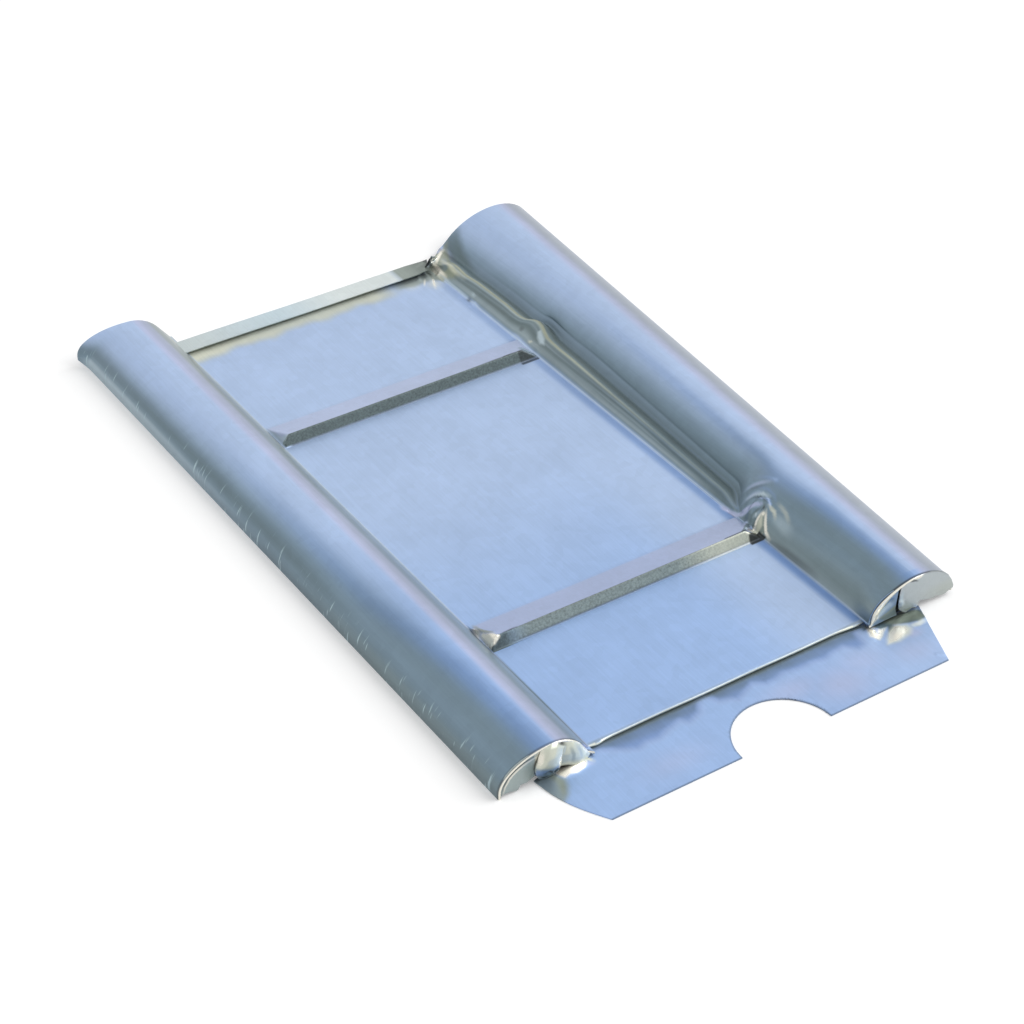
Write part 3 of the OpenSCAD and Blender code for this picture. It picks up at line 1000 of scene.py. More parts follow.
# The hem's front edge waves a little and flares at both ends
front = pan_side * (drop < -0.1) * (along < 3)
work.push(0.12 * np.sin(work.p[:, 0] / 9.0) * front, (0, -1, 0))
work.dent((5, 0, -1), (6, 3, 4), 1.0, way=(0, -1, 0.1), where=front)
work.dent((163, 0, -1), (7, 3, 4), 1.2, way=(0, -1, 0.1), where=front)
work.crumple((6, 0, -1), (6, 3, 3), 0.6, 3, where=front)
work.crumple((163, 0, -1), (7, 3, 3), 0.8, 5, where=front)

# Long shallow waves that rolled sheet keeps
work.push(0.10 * np.sin(work.p[:, 1] / 31.0 + work.p[:, 0] / 57.0) * main_pan, UP)
# The left rim's foot is tucked behind the crease
tuck = left_side * on_skin * (along < -2.0) * ramp01(work.p[:, 0], -8, -1)
work.p[:, 0] -= 1.6 * tuck
work.p[:, 1] += 1.8 * tuck
# The hidden end of the hem and the rim stay inside the tile's own length
work.p[:, 1] = np.maximum(work.p[:, 1], NEAR_Y - 0.55)
work.settle()

# Painted reflections, highlights and shade on the rolls, set by which way each place faces and how far along
# the tile it lies.
# The tilt is 1 where a place faces right and -1 where it faces left.
tilt = work.n[:, 0]
x, y, z = work.p.T
rolls = ~pan_side
dx = x - PAN_W
turn_rows = (30, 66, 136, 196, 256, 356, 406)
darken_from = np.interp(y, turn_rows, (-0.04, -0.02, 0.21, 0.16, 0.22, 0.38, 0.40))
darken_to = np.interp(y, turn_rows, (0.26, 0.28, 0.76, 0.85, 0.90, 0.86, 0.83))
left_rows = (26, 96, 186, 276, 366, 416)
left_from = np.interp(y, left_rows, (-0.02, 0.0, 0.08, 0.16, 0.28, 0.32))
left_to = np.interp(y, left_rows, (0.25, 0.36, 0.56, 0.72, 0.88, 0.96))
by_swing = right_side * ramp01(y, 276, 290) * fade(y, 336, 350) * ramp01(place, 1.1, 1.4)
facing = -tilt * (1 - by_swing) - plain_facing * by_swing
facing_left = np.where(
    right_side, ramp01(facing, darken_from, darken_to), ramp01(facing, left_from, left_to),
)
far_part = ramp01(y, 170, 320)
near_half = fade(y, 90, 200)
off_crease = np.where(right_side, ramp01(dx, -0.4, 1.4), 1.0)
# Share of the bluer near zinc: more towards the near end and the left of the pan
work.paint("near_zinc_share", fade(y, 60, 235) * (1 - ramp01(x, 105, 152) * (y > 0)))
work.paint("violet", 0.9 * ramp01(tilt, 0.02, 0.20) * rolls)
steep = ramp01(tilt, 0.44, 0.60) * left_side
grey_from = np.where(left_side, 0.12, 0.08)
grey_to = np.where(left_side, 0.42, 0.36)
grey = np.where(left_side, 0.55, 0.82) * ramp01(tilt, grey_from, grey_to)
work.paint("grey", (grey + 0.4 * steep) * rolls)
work.paint("olive", (0.12 + 0.22 * ramp01(y, 150, 330)) * steep)
work.paint("glow", 0.12 * steep * ramp01(y, 190, 300) * ramp01(x, -9, -2))
work.paint("teal", facing_left * rolls * off_crease)
work.paint("teal", (0.45 - 0.35 * ramp01(y, 180, 410)) * steep)
# Share of painted shade on the steepest left-facing flanks
flank_shade = 0.45 + 0.35 * right_side * near_half - np.where(left_side, 0.42, 0.2) * far_part
work.paint("painted_shade", ramp01(-tilt, 0.50, 0.98) * rolls * flank_shade)
work.paint("painted_shade", 0.62 * left_side * bell(tilt, -0.74, 0.18) * ramp01(y, 90, 190))
work.paint("glow", 0.07 * right_side * ramp01(tilt, 0.15, 0.45))
work.paint("pale", 0.60 * left_side * ramp01(y, 210, 400) * ramp01(-tilt, 0.86, 0.98))
work.paint("olive", 0.16 * left_side * near_half * ramp01(-tilt, 0.75, 0.95))
work.paint("olive", 0.20 * right_side * fade(y, 84, 110) * ramp01(-tilt, 0.50, 0.75))
low_foot = right_side * fade(y, 84, 96) * fade(dx, 1.0, 4.5) * ramp01(dx, -0.3, 0.6)
work.paint("pale", 0.22 * low_foot)
work.paint("painted_shade", 0.30 * right_side * fade(y, 84, 110) * bell(tilt, -0.56, 0.10))
shoulder = rolls * near_half * bell(tilt, -0.36, 0.20)
work.paint("painted_shade", np.where(left_side, 0.35, 0.50) * shoulder)
blue_at = np.interp(y, (30, 66, 136, 220), (-0.12, -0.15, -0.33, -0.32))
blue = np.interp(y, (30, 66, 136, 220, 300), (0.66, 0.68, 0.46, 0.30, 0.08))
work.paint("deep", rolls * blue * bell(tilt, blue_at, 0.13))
# Painted highlight along the left crease
work.paint("pale", 0.45 * np.logical_or(left_side * (x > -1.4), main_pan * (x < 0.7)) * ramp01(y, 90, 130))
work.paint("scuffed", left_side * fade(z, 5, 11) * ramp01(-x, 30, 40))

# Painted on the bead: a thin highlight on its crest between two hollows of painted shade,
# with streaks of painted light and shade
crest_at = np.interp(
    y, (100, 190, 250, 290, 318, 340, 370, 385, 400),
    (0.50, 0.50, 0.54, 0.56, 0.58, 0.60, 0.58, 0.54, 0.58),
)
bead_zone = right_side * ramp01(y, 88, 125) * fade(y, 400, 424) * ramp01(place, 0.03, 0.12)
bead_zone = bead_zone * fade(place, 1.08, 1.72)
crest = bead_zone * bell(place, crest_at, 0.085)
hollow = bead_zone * (1 - (0.35 + 0.40 * far_part) * bell(place, crest_at, 0.26))
work.paint("teal", bead_zone)
work.paint("painted_shade", 0.90 * hollow)
work.paint("dark", 0.12 * hollow)
before = bead_zone * (place < crest_at)
work.paint("dark", 0.22 * before * bell(place - crest_at, -0.19, 0.08))
bead_streaks = np.sin(31 * place + 0.9 * np.sin(y / 19.0)) * np.sin(13 * place + y / 47.0)
work.paint("pale", 0.50 * before * bell(place, 0.13, 0.09) * ramp01(y, 110, 160))
work.paint("pale", 0.34 * before * np.clip(bead_streaks, 0, 1) * ramp01(y, 120, 180))
still_bead = fade(place, 0.85, 1.3)
work.paint("dark", 0.26 * bead_zone * np.clip(-bead_streaks, 0, 1) * still_bead)
work.paint("olive", crest * (0.20 + 0.62 * far_part) + 0.18 * bead_zone * far_part * still_bead)
work.paint("glow", crest * (0.04 + 0.16 * far_part))
work.paint("pale", 0.6 * (np.abs(station - 2) < 0.6) * right_side * ramp01(y, 95, 130))

# Ridges: painted shade on the speckled risers, edged with painted dark lines at their foot
# and top, and painted lilac-grey reflection on the slopes
for i in range(RIDGE_COUNT):
    start = RIDGE_START + i * RIDGE_PITCH
    top = start + RIDGE_RISER
    riser = main_pan * (y > start - 0.3) * (y < top + 0.45) * ramp01(z, 0.1, 0.7)
    slope = main_pan * (y > top + 0.4) * (y < top + RIDGE_RAMP) * ramp01(z, 0.15, 0.8)
    work.paint("painted_shade", (0.70 + 0.25 * i) * riser)
    work.paint("dark", (0.05 + 0.29 * i) * riser)
    work.paint("olive", (0.50 - 0.35 * i) * riser)
    work.paint("speckle", riser)
    work.paint("violet", 0.62 * slope)
    work.paint("pale", 0.10 * i * slope)
    work.paint("grey", (0.12 - 0.12 * i) * slope)
    edges = bell(y - start, 0.1, 0.45) + 0.7 * bell(y, top, 0.4)
    work.paint("dark", 0.75 * np.clip(edges, 0, 1) * main_pan * ramp01(x, 3, 6) * fade(x, 160, 166))
# Painted blue shade on the pan beside the right crease
beside_crease = np.interp(y, (0, 60, 140, 250, 350, 400), (0.95, 0.90, 0.75, 0.62, 0.40, 0.25))
work.paint("deep", beside_crease * main_pan * ramp01(x, 162.0, 167.0) * (z < 0.6))

# Head edge: the strip painted pale blue with a painted highlight, turning olive and painted
# darker at its right end; on the pan under it, a painted yellowish glow
bright = fade(x, 144, 147)
work.paint("pale", strip * bright * (0.45 + 0.55 * ramp01(x, -2, 60)))
work.paint("glow", 0.30 * strip * fade(x, 5, 70))
work.paint("painted_highlight", 0.35 * strip * bright * ramp01(x, 60, 110))
work.paint("olive", strip * (0.78 * (1 - bright) + 0.40 * fade(x, 0, 70)))
work.paint("painted_shade", 0.12 * strip * (1 - bright))
work.paint("dark", strip * 0.35 * ramp01(x, 150, 168))
wavy = y + 1.3 * np.sin(x / 6.3) + 0.8 * np.sin(x / 2.7 + 1.0)
under_strip = main_pan * ramp01(wavy, 395.5, 404.5)
work.paint("olive", 0.62 * under_strip * fade(x, 125, 145))
work.paint("glow", under_strip * (0.60 + 0.10 * np.cos(x / 27.0)) * fade(x, 122, 145))
work.spots("glow", main_pan, ((163, 398, 0), (5, 5, 9), 0.45), ((150, 402, 0), (6, 4, 9), 0.3))

# Right end of the near ridge: painted lilac reflection on the hook, a painted bright
# highlight triangle with painted shade round it, and the hole under it painted dark
gathered = right_part * on_skin
work.patch("violet", [
    (167.3, 115.1), (169.7, 118.4), (171.9, 105.8), (174.4, 103.6), (177.1, 100), (179.5, 95.7),
    (179.5, 93.8), (176.3, 97), (173, 99.1), (171.2, 101.2), (169.5, 106.5),
], 0.85, 0.7, gathered)
work.patch("painted_shade", [
    (158.8, 86.5), (168.8, 94.4), (172.5, 95.7), (176.3, 96), (178, 93.6), (172.6, 93.9), (170.2, 92.3),
    (160.2, 85.5),
], 0.85, 0.5, gathered)
work.trace("pale", [(173.4, 93.6), (174.4, 92.9)], 1.8, 0.9, gathered)
work.patch("olive", [
    (165.2, 88), (172.2, 90.4), (176.7, 90.9), (177.4, 89), (174, 85.3), (172.1, 81.8), (170.7, 83.5),
    (166.4, 85.6),
], 0.55, 0.4, gathered)
work.patch("glow", [
    (166.6, 87.6), (172, 89.6), (175.6, 89.8), (172.6, 86.2), (168, 86),
], 0.55, 0.7, gathered)
for tone, corners, width, strength in (
    ("painted_highlight", [(165.2, 88), (172.2, 90.4), (176.7, 90.9)], 1.0, 1.0),
    ("painted_highlight", [(177.7, 89.8), (174, 85.3), (172, 82.1), (170.9, 77.3)], 1.0, 0.95),
    ("painted_highlight", [(166.2, 86), (170.9, 83.8)], 0.8, 0.9),
    ("painted_highlight", [(175.2, 90), (176.8, 89.6)], 1.3, 1.0),
    ("dark", [(177.3, 92.2), (178.4, 92.6)], 1.3, 0.95),
    ("dark", [(177.6, 105.2), (180.5, 102.5), (181.9, 97.8), (180.5, 92.5)], 1.2, 0.55),
    ("pale", [(178.2, 105.9), (181.2, 103.8), (183.4, 100), (183.9, 95)], 1.3, 0.95),
    ("violet", [(176.5, 107), (180.5, 105), (184, 101)], 2.0, 0.55),
    ("glow", [(180.4, 91.1), (180, 85.7), (178, 81.9)], 1.3, 0.6),
    ("pale", [(178.6, 84), (178, 77.5), (176.6, 68.5)], 3.6, 0.35),
    ("dark", [(181.5, 110), (184, 107.2), (187.5, 104)], 2.0, 0.30),
    ("violet", [(181.5, 113.4), (185.4, 109.2), (188.4, 105.8), (191.7, 101.7)], 2.0, 0.6),
    ("dark", [(169.4, 79.5), (170.6, 73.5), (171, 64), (171.2, 40)], 1.8, 0.45),
    ("glow", [(184.2, 88), (182.8, 80), (180, 73)], 1.6, 0.3),
):
    work.trace(tone, corners, width, strength, gathered)
# Painted glow on the riser towards its right end, where its speckle fades
riser_face = on_skin * ~left_side * (y > 81.8) * (y < 86.3) * fade(x, 163, 167)
work.cover("glow", 0.45 * riser_face * ramp01(x, 112, 146))
work.tone["speckle"] *= 1 - 0.6 * ramp01(x, 120, 150) * (y < 100)
# Painted shadow line along the foot of the riser; the hole is only painted dark, with a painted highlight at
# its rim
work.trace("dark", [(140, 86.9), (160, 86.9), (165.5, 88.2), (171.5, 91.2)], 0.8, 0.8, gathered)
hole = gathered * (y > 80.6) * (y < 86.4)
work.patch("dark", [
    (161.8, -0.6), (162.6, 3.8), (166, 4.4), (170.5, 3.4), (171.4, -0.6),
], 0.97, 0.5, hole, FRONT)
work.trace("painted_highlight", [(161, 4.6), (166, 5), (170.4, 4)], 0.7, 0.8, hole, FRONT)

# Left end of the near ridge: painted highlight on the facet, an olive fold over it, painted
# shade on the ends of the riser and a painted dark line along the left crease
facet = main_pan * (across < 16)
riser_left = main_pan * (y > 81.8) * (y < 86.3)
work.cover("painted_shade", 0.95 * riser_left * fade(x, 8, 26))
work.cover("dark", 0.50 * riser_left * fade(x, 5, 18))
beside_left = facet + left_side
work.trace("painted_shade", [(-0.2, -3), (-0.1, 20), (0, 60), (0.4, 84)], 1.3, 0.85, beside_left * (y < 84.5))
work.patch("painted_highlight", [
    (1.2, 94.8), (2.4, 94.6), (3.2, 91.5), (5.5, 86.6), (7.2, 85.5), (3.1, 84), (0.9, 84.1), (0.8, 88),
], 1.0, 0.4, facet)
for tone, corners, width, strength in (
    ("olive", [(3.4, 105), (3, 95.8), (5.5, 87.8)], 1.4, 0.8),
    ("painted_highlight", [(1.6, 102.5), (1.2, 94.5)], 1.1, 0.95),
    ("dark", [(0.7, 107.1), (0.9, 103), (0.6, 96)], 0.9, 0.7),
    ("dark", [(2.2, 101.5), (2.1, 96)], 0.8, 0.5),
    ("dark", [(7.6, 86.2), (11.5, 86.6), (20, 86.6)], 1.0, 0.75),
):
    work.trace(tone, corners, width, strength, facet)

# Right end of the far ridge: painted shadow on the end of the riser and in the hollow beside it,
# and painted glints in the bead
riser_end = gathered * (y > 291.5) * (y < 298.2)
work.patch("dark", [
    (157.6, -0.8), (157.6, 6.4), (160.4, 6.4), (163, 4.8), (168.6, 1.6), (170.2, -0.8),
], 0.80, 0.35, riser_end, FRONT)
work.trace("dark", [(156.5, 293.4), (163, 293.2), (169, 293.4)], 0.9, 0.8, gathered)
work.patch("teal", [
    (160.5, 297.6), (161.5, 303), (166.5, 302), (170, 296), (169.4, 293.6),
], 0.75, 0.9, gathered)
work.trace("painted_shade", [(162, 299.4), (165.5, 297.4), (168.6, 295.2)], 1.2, 0.55, gathered)
work.trace("pale", [(161.6, 301.4), (166, 299), (169, 296.4)], 0.9, 0.7, gathered)
work.trace("dark", [(130, 297.9), (150, 297.9), (160.5, 297.6)], 0.7, 0.6, gathered + main_pan)
work.patch("pale", [
    (179.7, 309.2), (181.4, 307.9), (178.1, 299.4), (175.4, 294.9), (174.9, 299.5), (177, 305),
], 0.85, 1.0, gathered)
for tone, corners, width, strength in (
    ("dark", [(174.6, 321.5), (176.4, 318)], 2.2, 0.5),
    ("glow", [(173.2, 309), (173.9, 306)], 1.2, 0.6),
    ("dark", [(183.8, 322.5), (187, 316.6), (185.6, 308.5), (182.8, 300.8)], 1.8, 0.35),
):
    work.trace(tone, corners, width, strength, gathered)

# Left end of the far ridge: a painted pale highlight
work.patch("pale", [(0.6, 317), (2.4, 301), (5.2, 297.6), (0.9, 295)], 0.6, 0.8, facet)

# Far right corner: painted olive shade under the strip, painted highlights on the creases
# and painted shadow at the knot
work.patch("olive", [
    (142, 412), (142, 403.5), (151, 401), (160, 402), (168.6, 399), (169.5, 412),
], 0.72, 2.5, main_pan)
work.patch("dark", [
    (143, 412), (146, 406.6), (153.3, 405.8), (158, 408), (163, 405.6), (166.5, 408.6), (167, 412),
], 0.22, 1.4, main_pan)
work.trace("painted_highlight", [(167.6, 407), (164.9, 402.2), (160.3, 392.3)], 1.1, 0.85, main_pan)
work.trace("painted_highlight", [(160.9, 405.4), (156.4, 398.6)], 1.0, 0.6, main_pan)
corner_skin = 1.0 * right_side
work.patch("olive", [
    (164, 404), (165, 424), (178, 424), (174.5, 408), (171, 397), (168.5, 396),
], 0.80, 0.8, corner_skin + main_pan)
work.patch("olive", [
    (169.8, 398), (170.4, 408), (172.6, 416), (176.5, 421.5), (183, 424.5), (187.5, 427.5), (191, 432),
    (195, 432), (190, 424), (184, 413), (178.5, 402), (176, 390), (173, 390),
], 0.85, 1.2, corner_skin)
for tone, corners, width, strength in (
    ("painted_shade", [(202, 440), (195, 426), (191, 415), (189, 402), (187, 380)], 7.0, 0.95),
    ("dark", [(195, 434), (190.5, 426), (186.5, 413), (184, 395)], 3.5, 0.30),
    ("painted_shade", [(172.6, 409), (174, 402), (177.4, 409), (181, 415)], 2.4, 0.75),
):
    work.trace(tone, corners, width, strength, corner_skin)
work.trace("glow", [(171.4, 413), (170.4, 404), (170.2, 396)], 2.6, 0.5, corner_skin + main_pan)
for tone, corners, width, strength in (
    ("glow", [(179, 417), (177.2, 405), (176.2, 395), (176.4, 384)], 2.2, 0.50),
    ("olive", [(176.4, 418.8), (174.6, 414.4)], 1.6, 0.9),
    ("painted_highlight", [(189, 428.6), (185, 425), (179.6, 419.3), (175.3, 414.8), (171.8, 410.2)], 1.5, 1.0),
    ("painted_highlight", [(174.4, 418), (172.9, 414), (172.3, 409.2), (171.3, 404.3), (171.1, 397)], 1.4, 1.0),
    ("pale", [(170.3, 408.5), (170.6, 388.5), (170.8, 371.5)], 0.8, 0.8),
    ("pale", [(172.4, 372.2), (173.4, 366)], 1.5, 0.75),
):
    work.trace(tone, corners, width, strength, corner_skin)
work.trace("dark", [(168.6, 371), (170.6, 368.4)], 1.6, 0.75, gathered)
work.trace("painted_highlight", [(170.4, 412), (169.8, 402)], 1.2, 0.85, gathered * (y < 412))
pinched = right_side * ramp01(along, 418, 423)
work.cover("painted_shade", 0.7 * pinched * fade(dx, 4.5, 7.0))
work.cover("dark", 0.92 * pinched * fade(dx, 0.9, 2.0))
work.cover("painted_highlight", 0.95 * pinched * bell(dx, 2.5, 0.55) * fade(along, 427, 431))
work.cover("dark", 0.45 * pinched * bell(dx, 4.0, 0.8))
work.patch("dark", [(167.4, 424), (168.4, 417), (170.6, 414), (171.4, 424)], 0.85, 0.6, 1.0 * strip)
work.trace("dark", [(165.6, 412), (167.6, 409), (166.6, 405.6)], 2.4, 0.5, main_pan)
work.trace("olive", [(160, 416), (166, 417.5), (169, 419)], 2.0, 0.5, 1.0 * strip)

# Rims and the hem's edge: painted highlights on the rim's rows, with one painted dark row
# between them and a painted shadow line behind the rim; painted highlight and shade on the hem's lip
rim = on_skin * (along < -4.5)
work.paint("painted_highlight", rim * ((along < -5.2) * 0.9 + 0.25) * (along != -5.45))
work.paint("dark", rim * (np.abs(along + 5.1) < 0.05) * 0.95)
work.paint("dark", np.where(right_side, 0.80, 0.55) * rolls * on_skin * (along < -4.2) * (along > -5.0))
lip = pan_side * (y < 2.0)
work.paint("olive", 0.35 * lip * (z < -0.1))
work.paint("glow", 0.80 * lip * bell(z, -0.45, 0.26))
work.paint("painted_shade", 0.50 * lip * bell(z, -0.06, 0.10) * (z < -0.02))
work.paint("olive", 0.90 * lip * (z < -0.85))
work.paint("painted_shade", 0.35 * lip * (z < -1.5))
lip_edge = lip * (z < -0.15)
# Painted highlights where the hem's edge flares at both ends
work.spots("glow", lip_edge, ((6, 0, -1), (9, 3, 3), 0.95), ((160, 0, -1), (9, 3, 3), 0.95))

# The body is kept as three pieces that meet on the flat of the pan
middle_x = across[work.quads].mean(axis=1)
pieces = []
for name, faces in (
    ("left_roll", middle_x < LEFT_SEAM),
    ("pan_with_ridges", np.logical_and(middle_x > LEFT_SEAM, middle_x < RIGHT_SEAM)),
    ("right_roll", middle_x > RIGHT_SEAM),
):
    piece = new_piece(name, work.cut_out(name, faces))
    thicken(piece)
    pieces.append(piece)


# ---------------------------------------------------------------- apron

APRON_COLUMNS = 360
NOTCH_STEP = 0.8


def apron_mesh():
    """Notched apron plate with its two wings."""
    back = HEM_DEPTH - HEM_R
    tip = -APRON_L
    rows = spread([(tip + 0.02, tip + 1.2, 0.3), (tip + 1.2, -22, 1.0), (-22, -2, 0.5), (-2, back, 2.2)])
    columns = APRON_COLUMNS
    points = []
    for y in rows:
        s = min(1.0, (y + APRON_L) / (APRON_L + NEAR_Y + 0.9))
        left_edge = -(APRON_TIP + (APRON_ROOT - APRON_TIP) * s) - APRON_BOW * math.sin(math.pi * s)
        right_edge = PAN_W + APRON_TIP + (APRON_ROOT - APRON_TIP) * s
        if y > NEAR_Y + 0.9:
            pull = ramp01(y, NEAR_Y + 0.9, 1.0)
            left_edge = left_edge * (1 - pull)
            right_edge = right_edge * (1 - pull) + PAN_W * pull
        for i in range(columns + 1):
            points.append((left_edge + (right_edge - left_edge) * i / columns, y, FLOOR + SHEET))
    faces = []
    for j in range(len(rows) - 1):
        for i in range(columns):
            a = j * (columns + 1) + i
            faces.append((a, a + 1, a + columns + 2, a + columns + 1))
    mesh = bpy.data.meshes.new("apron")
    points = np.array(points)
    # The notch: points near its rim slide onto it, and the faces left inside go
    centre = np.array([PAN_W / 2, -APRON_L])
    away = points[:, :2] - centre
    reach = np.linalg.norm(away, axis=1)
    ring = np.abs(reach - NOTCH_R) < NOTCH_STEP
    points[ring, :2] = centre + away[ring] / reach[ring][:, None] * NOTCH_R
    inside = reach < NOTCH_R - NOTCH_STEP
    faces = [f for f in faces if not any(inside[k] for k in f)]
    mesh.from_pydata([tuple(q) for q in to_metres(points)], [], faces)
    return mesh


apron = new_piece("apron", apron_mesh())
apron.data.materials.append(steel)
plate = Sheet(apron.data)
plate.push(0.12 * np.abs(np.sin(plate.p[:, 0] / 23.0 + 1.0) * np.sin(plate.p[:, 1] / 13.0)), UP)
for centre, radii, height in (
    ((188, -6.5, -2), (13, 3.6, 5), 0.5), ((170, -8, -2), (4, 4, 5), 1.0), ((180, -15, -2), (5, 5, 5), 1.0),
    ((194, -13, -2), (6, 3, 5), 0.9), ((-13, -6.5, -2), (9, 3.4, 5), 2.4), ((-26, -8, -2), (5, 5, 5), 0.8),
):
    plate.dent(centre, radii, height, way=UP)
plate.settle()
plate.crumple((172, -8, -1), (6, 5, 5), 1.1, 21, way=UP)
plate.crumple((182, -14, -1), (8, 6, 5), 1.3, 22, way=UP)
plate.crumple((-14, -8, -1), (9, 4, 5), 0.8, 23, way=UP)
plate.fold((188.5, -41, -2), (184, -38, -2), 1.5, 0.5, way=UP)
plate.p[:, 2] = np.clip(plate.p[:, 2], FLOOR + SHEET, 1.0)
plate.settle()
x, y = plate.p.T[:2]
# Share of the bluer near zinc, less towards the right
plate.paint("near_zinc_share", 1 - 0.45 * ramp01(x, 120, 175))
# Blotches of painted shade under the hem's edge, darkest beside it and violet-blue at their border
blotches = (
    [
        (-2, 2), (4.7, -2.5), (12.9, -8.2), (20.8, -12.9), (26.7, -11.2), (33.8, -12.3), (40, -9.5),
        (43, -9), (49.3, -7), (52.4, -10.9), (60.5, -7.8), (64, -3), (66, 3),
    ],
    [
        (68, 3), (71.9, -3.5), (73.6, -6.8), (79, -8.4), (82.3, -10.8), (87, -8.6), (95.2, -5),
        (100.7, -9.3), (106.6, -9), (112, -7.4), (121.8, -9.2), (129.8, -9), (137.1, -10.7), (141.9, -9),
        (150, -8.2), (155.3, -13.7), (160.2, -12.6), (161.5, -5.8), (164, 3),
    ],
)
for outline in blotches:
    plate.patch("violet", outline, 0.55, 4.5)
    plate.patch("deep", outline, 0.78, 3.2)
    depth = plate.reach(outline) * plate.inside(outline)
    shaded = ramp01(depth, 0.0, 3.0) * (0.8 + 0.2 * np.sin(x / 3.1 + y / 2.0) * np.sin(x / 7.3 - y / 3.0))
    plate.paint("painted_shade", 0.62 * shaded * fade(-y, 2.0, 11.0))
# Painted olive shadow just under the hem's lip
under_lip = (x > 3) * (x < PAN_W - 4) * (y > -3.5)
plate.paint("olive", 0.55 * under_lip * fade(-y, 0.6, 2.6))
plate.spots(
    "violet", 1.0, ((108, -20, 0), (16, 8, 6), 0.55), ((132, -30, 0), (16, 12, 6), 0.65),
    ((150, -22, 0), (14, 9, 6), 0.45), ((178, -30, 0), (12, 8, 6), 0.45),
    ((30, -30, 0), (18, 8, 6), 0.35), ((186.5, -19.5, 0), (5, 3.5, 6), 0.85),
)

# Painted shade and highlights on the folds at the root of the right wing
for tone, outline, strength, soft in (
    ("painted_shade", [
        (167.5, -1), (176.7, -2.7), (184, -2.7), (190.6, -4.2), (198.6, -5.6), (201.6, -8),
        (200.2, -13.4), (195.2, -14.6), (188.4, -11.4), (181.8, -9.2), (178.8, -14), (175, -14.6),
        (178.4, -9), (174, -8.4), (171, -4.4), (166.5, -4.4),
    ], 0.95, 0.9),
    ("olive", [
        (176.7, -2.7), (184, -2.7), (190.6, -4.2), (200, -6), (200.2, -12.4), (195.2, -13.6),
        (187.4, -10.7), (181.4, -8.6),
    ], 0.60, 1.6),
    ("dark", [(176, -1.5), (190, -2.6), (196, -5), (186, -6.4), (176, -5.4)], 0.30, 1.4),
    ("painted_highlight", [
        (167.9, -5.4), (166, -9.9), (168.7, -14.4), (172, -12.8), (174.5, -10.7), (177.4, -8.9),
        (173.8, -8.4), (172.1, -7.3), (173.1, -3.1), (170.5, -2.6),
    ], 1.0, 1.1),
):
    plate.patch(tone, outline, strength, soft)
plate.trace("violet", [(171, -5), (171.8, -8.2), (170.6, -10.5)], 1.4, 0.75)
plate.patch("glow", [
    (183, -9.6), (188, -12.6), (188.6, -16), (185, -19), (176.5, -20.6), (169.6, -19.4), (172.9, -15),
    (177.2, -11.6),
], 0.70, 2.0)
plate.patch("painted_highlight", [
    (181.7, -10.8), (186, -13), (185.6, -15.8), (183.2, -17.2), (175.8, -19.4), (170.9, -18.7),
    (173.9, -15.4), (176.2, -12.8),
], 0.95, 1.1)
plate.trace("glow", [(187.6, -14), (193, -15.6), (198.6, -15)], 2.2, 0.6)
plate.patch("painted_highlight", [(198.1, -3.4), (200.6, -5.3), (201.2, -2.4)], 0.95, 0.4)
plate.trace("glow", [(189, -1.3), (190.7, -3.4), (193.4, -4.1)], 1.0, 0.9)

# The same painted shade and highlights at the root of the left wing, with a band of painted
# shade down its edge
for tone, outline, strength, soft in (
    ("olive", [
        (-34, -2), (-23, -2.5), (-21.5, -8.5), (-20, -11.5), (-21.5, -15.5), (-24.5, -20), (-30, -24),
        (-35, -12),
    ], 0.85, 2.4),
    ("painted_shade", [(-34, -3), (-27.5, -4), (-25.5, -11), (-27, -19.5), (-30, -23), (-35, -12)], 0.40, 2.0),
    ("painted_highlight", [
        (-22.4, -6.1), (-18.6, -3.8), (-16.2, -2.4), (-13.1, -4.4), (-9.2, -6.9), (-6.8, -6.2),
        (-4.6, -6.4), (-5.2, -8), (-8, -9.9), (-12.7, -10.9), (-16.6, -10), (-19.7, -10.6), (-21.3, -8.5),
    ], 1.0, 0.7),
):
    plate.patch(tone, outline, strength, soft)
for tone, corners, width, strength in (
    ("glow", [(-6.5, -5.4), (-3.6, -6), (-2, -8.2)], 1.8, 0.8),
    ("violet", [(-9, -8.6), (-5, -8.8), (-2.5, -10)], 1.6, 0.5),
    ("dark", [(-19.5, -2.4), (-15.8, -1.4), (-11, -3), (-6.5, -5.2)], 0.9, 0.7),
):
    plate.trace(tone, corners, width, strength)

# Sheared edge: grey shadow line all round
edge_y = np.minimum(y + APRON_L, np.abs(np.hypot(x - PAN_W / 2, y + APRON_L) - NOTCH_R))
plate.paint("dark", 0.55 * fade(edge_y, 0.1, 0.8))
plate.finish()
thicken(apron)
pieces.append(apron)


# ---------------------------------------------------------------- folded roll ends

OUTWARD = np.array([-0.44, -0.67, 0.60])
# The flaps lie on each other, so each one is a little thinner than the sheet
FLAP_SHARE = 0.7


def run_of(points, count):
    """Points spread evenly along a line of corners."""
    points = np.array(points, float)
    step = np.linalg.norm(np.diff(points, axis=0), axis=1)
    length = np.concatenate([[0], np.cumsum(step)])
    at = np.linspace(0, length[-1], count)
    return np.stack([np.interp(at, length, points[:, i]) for i in range(3)], axis=1)


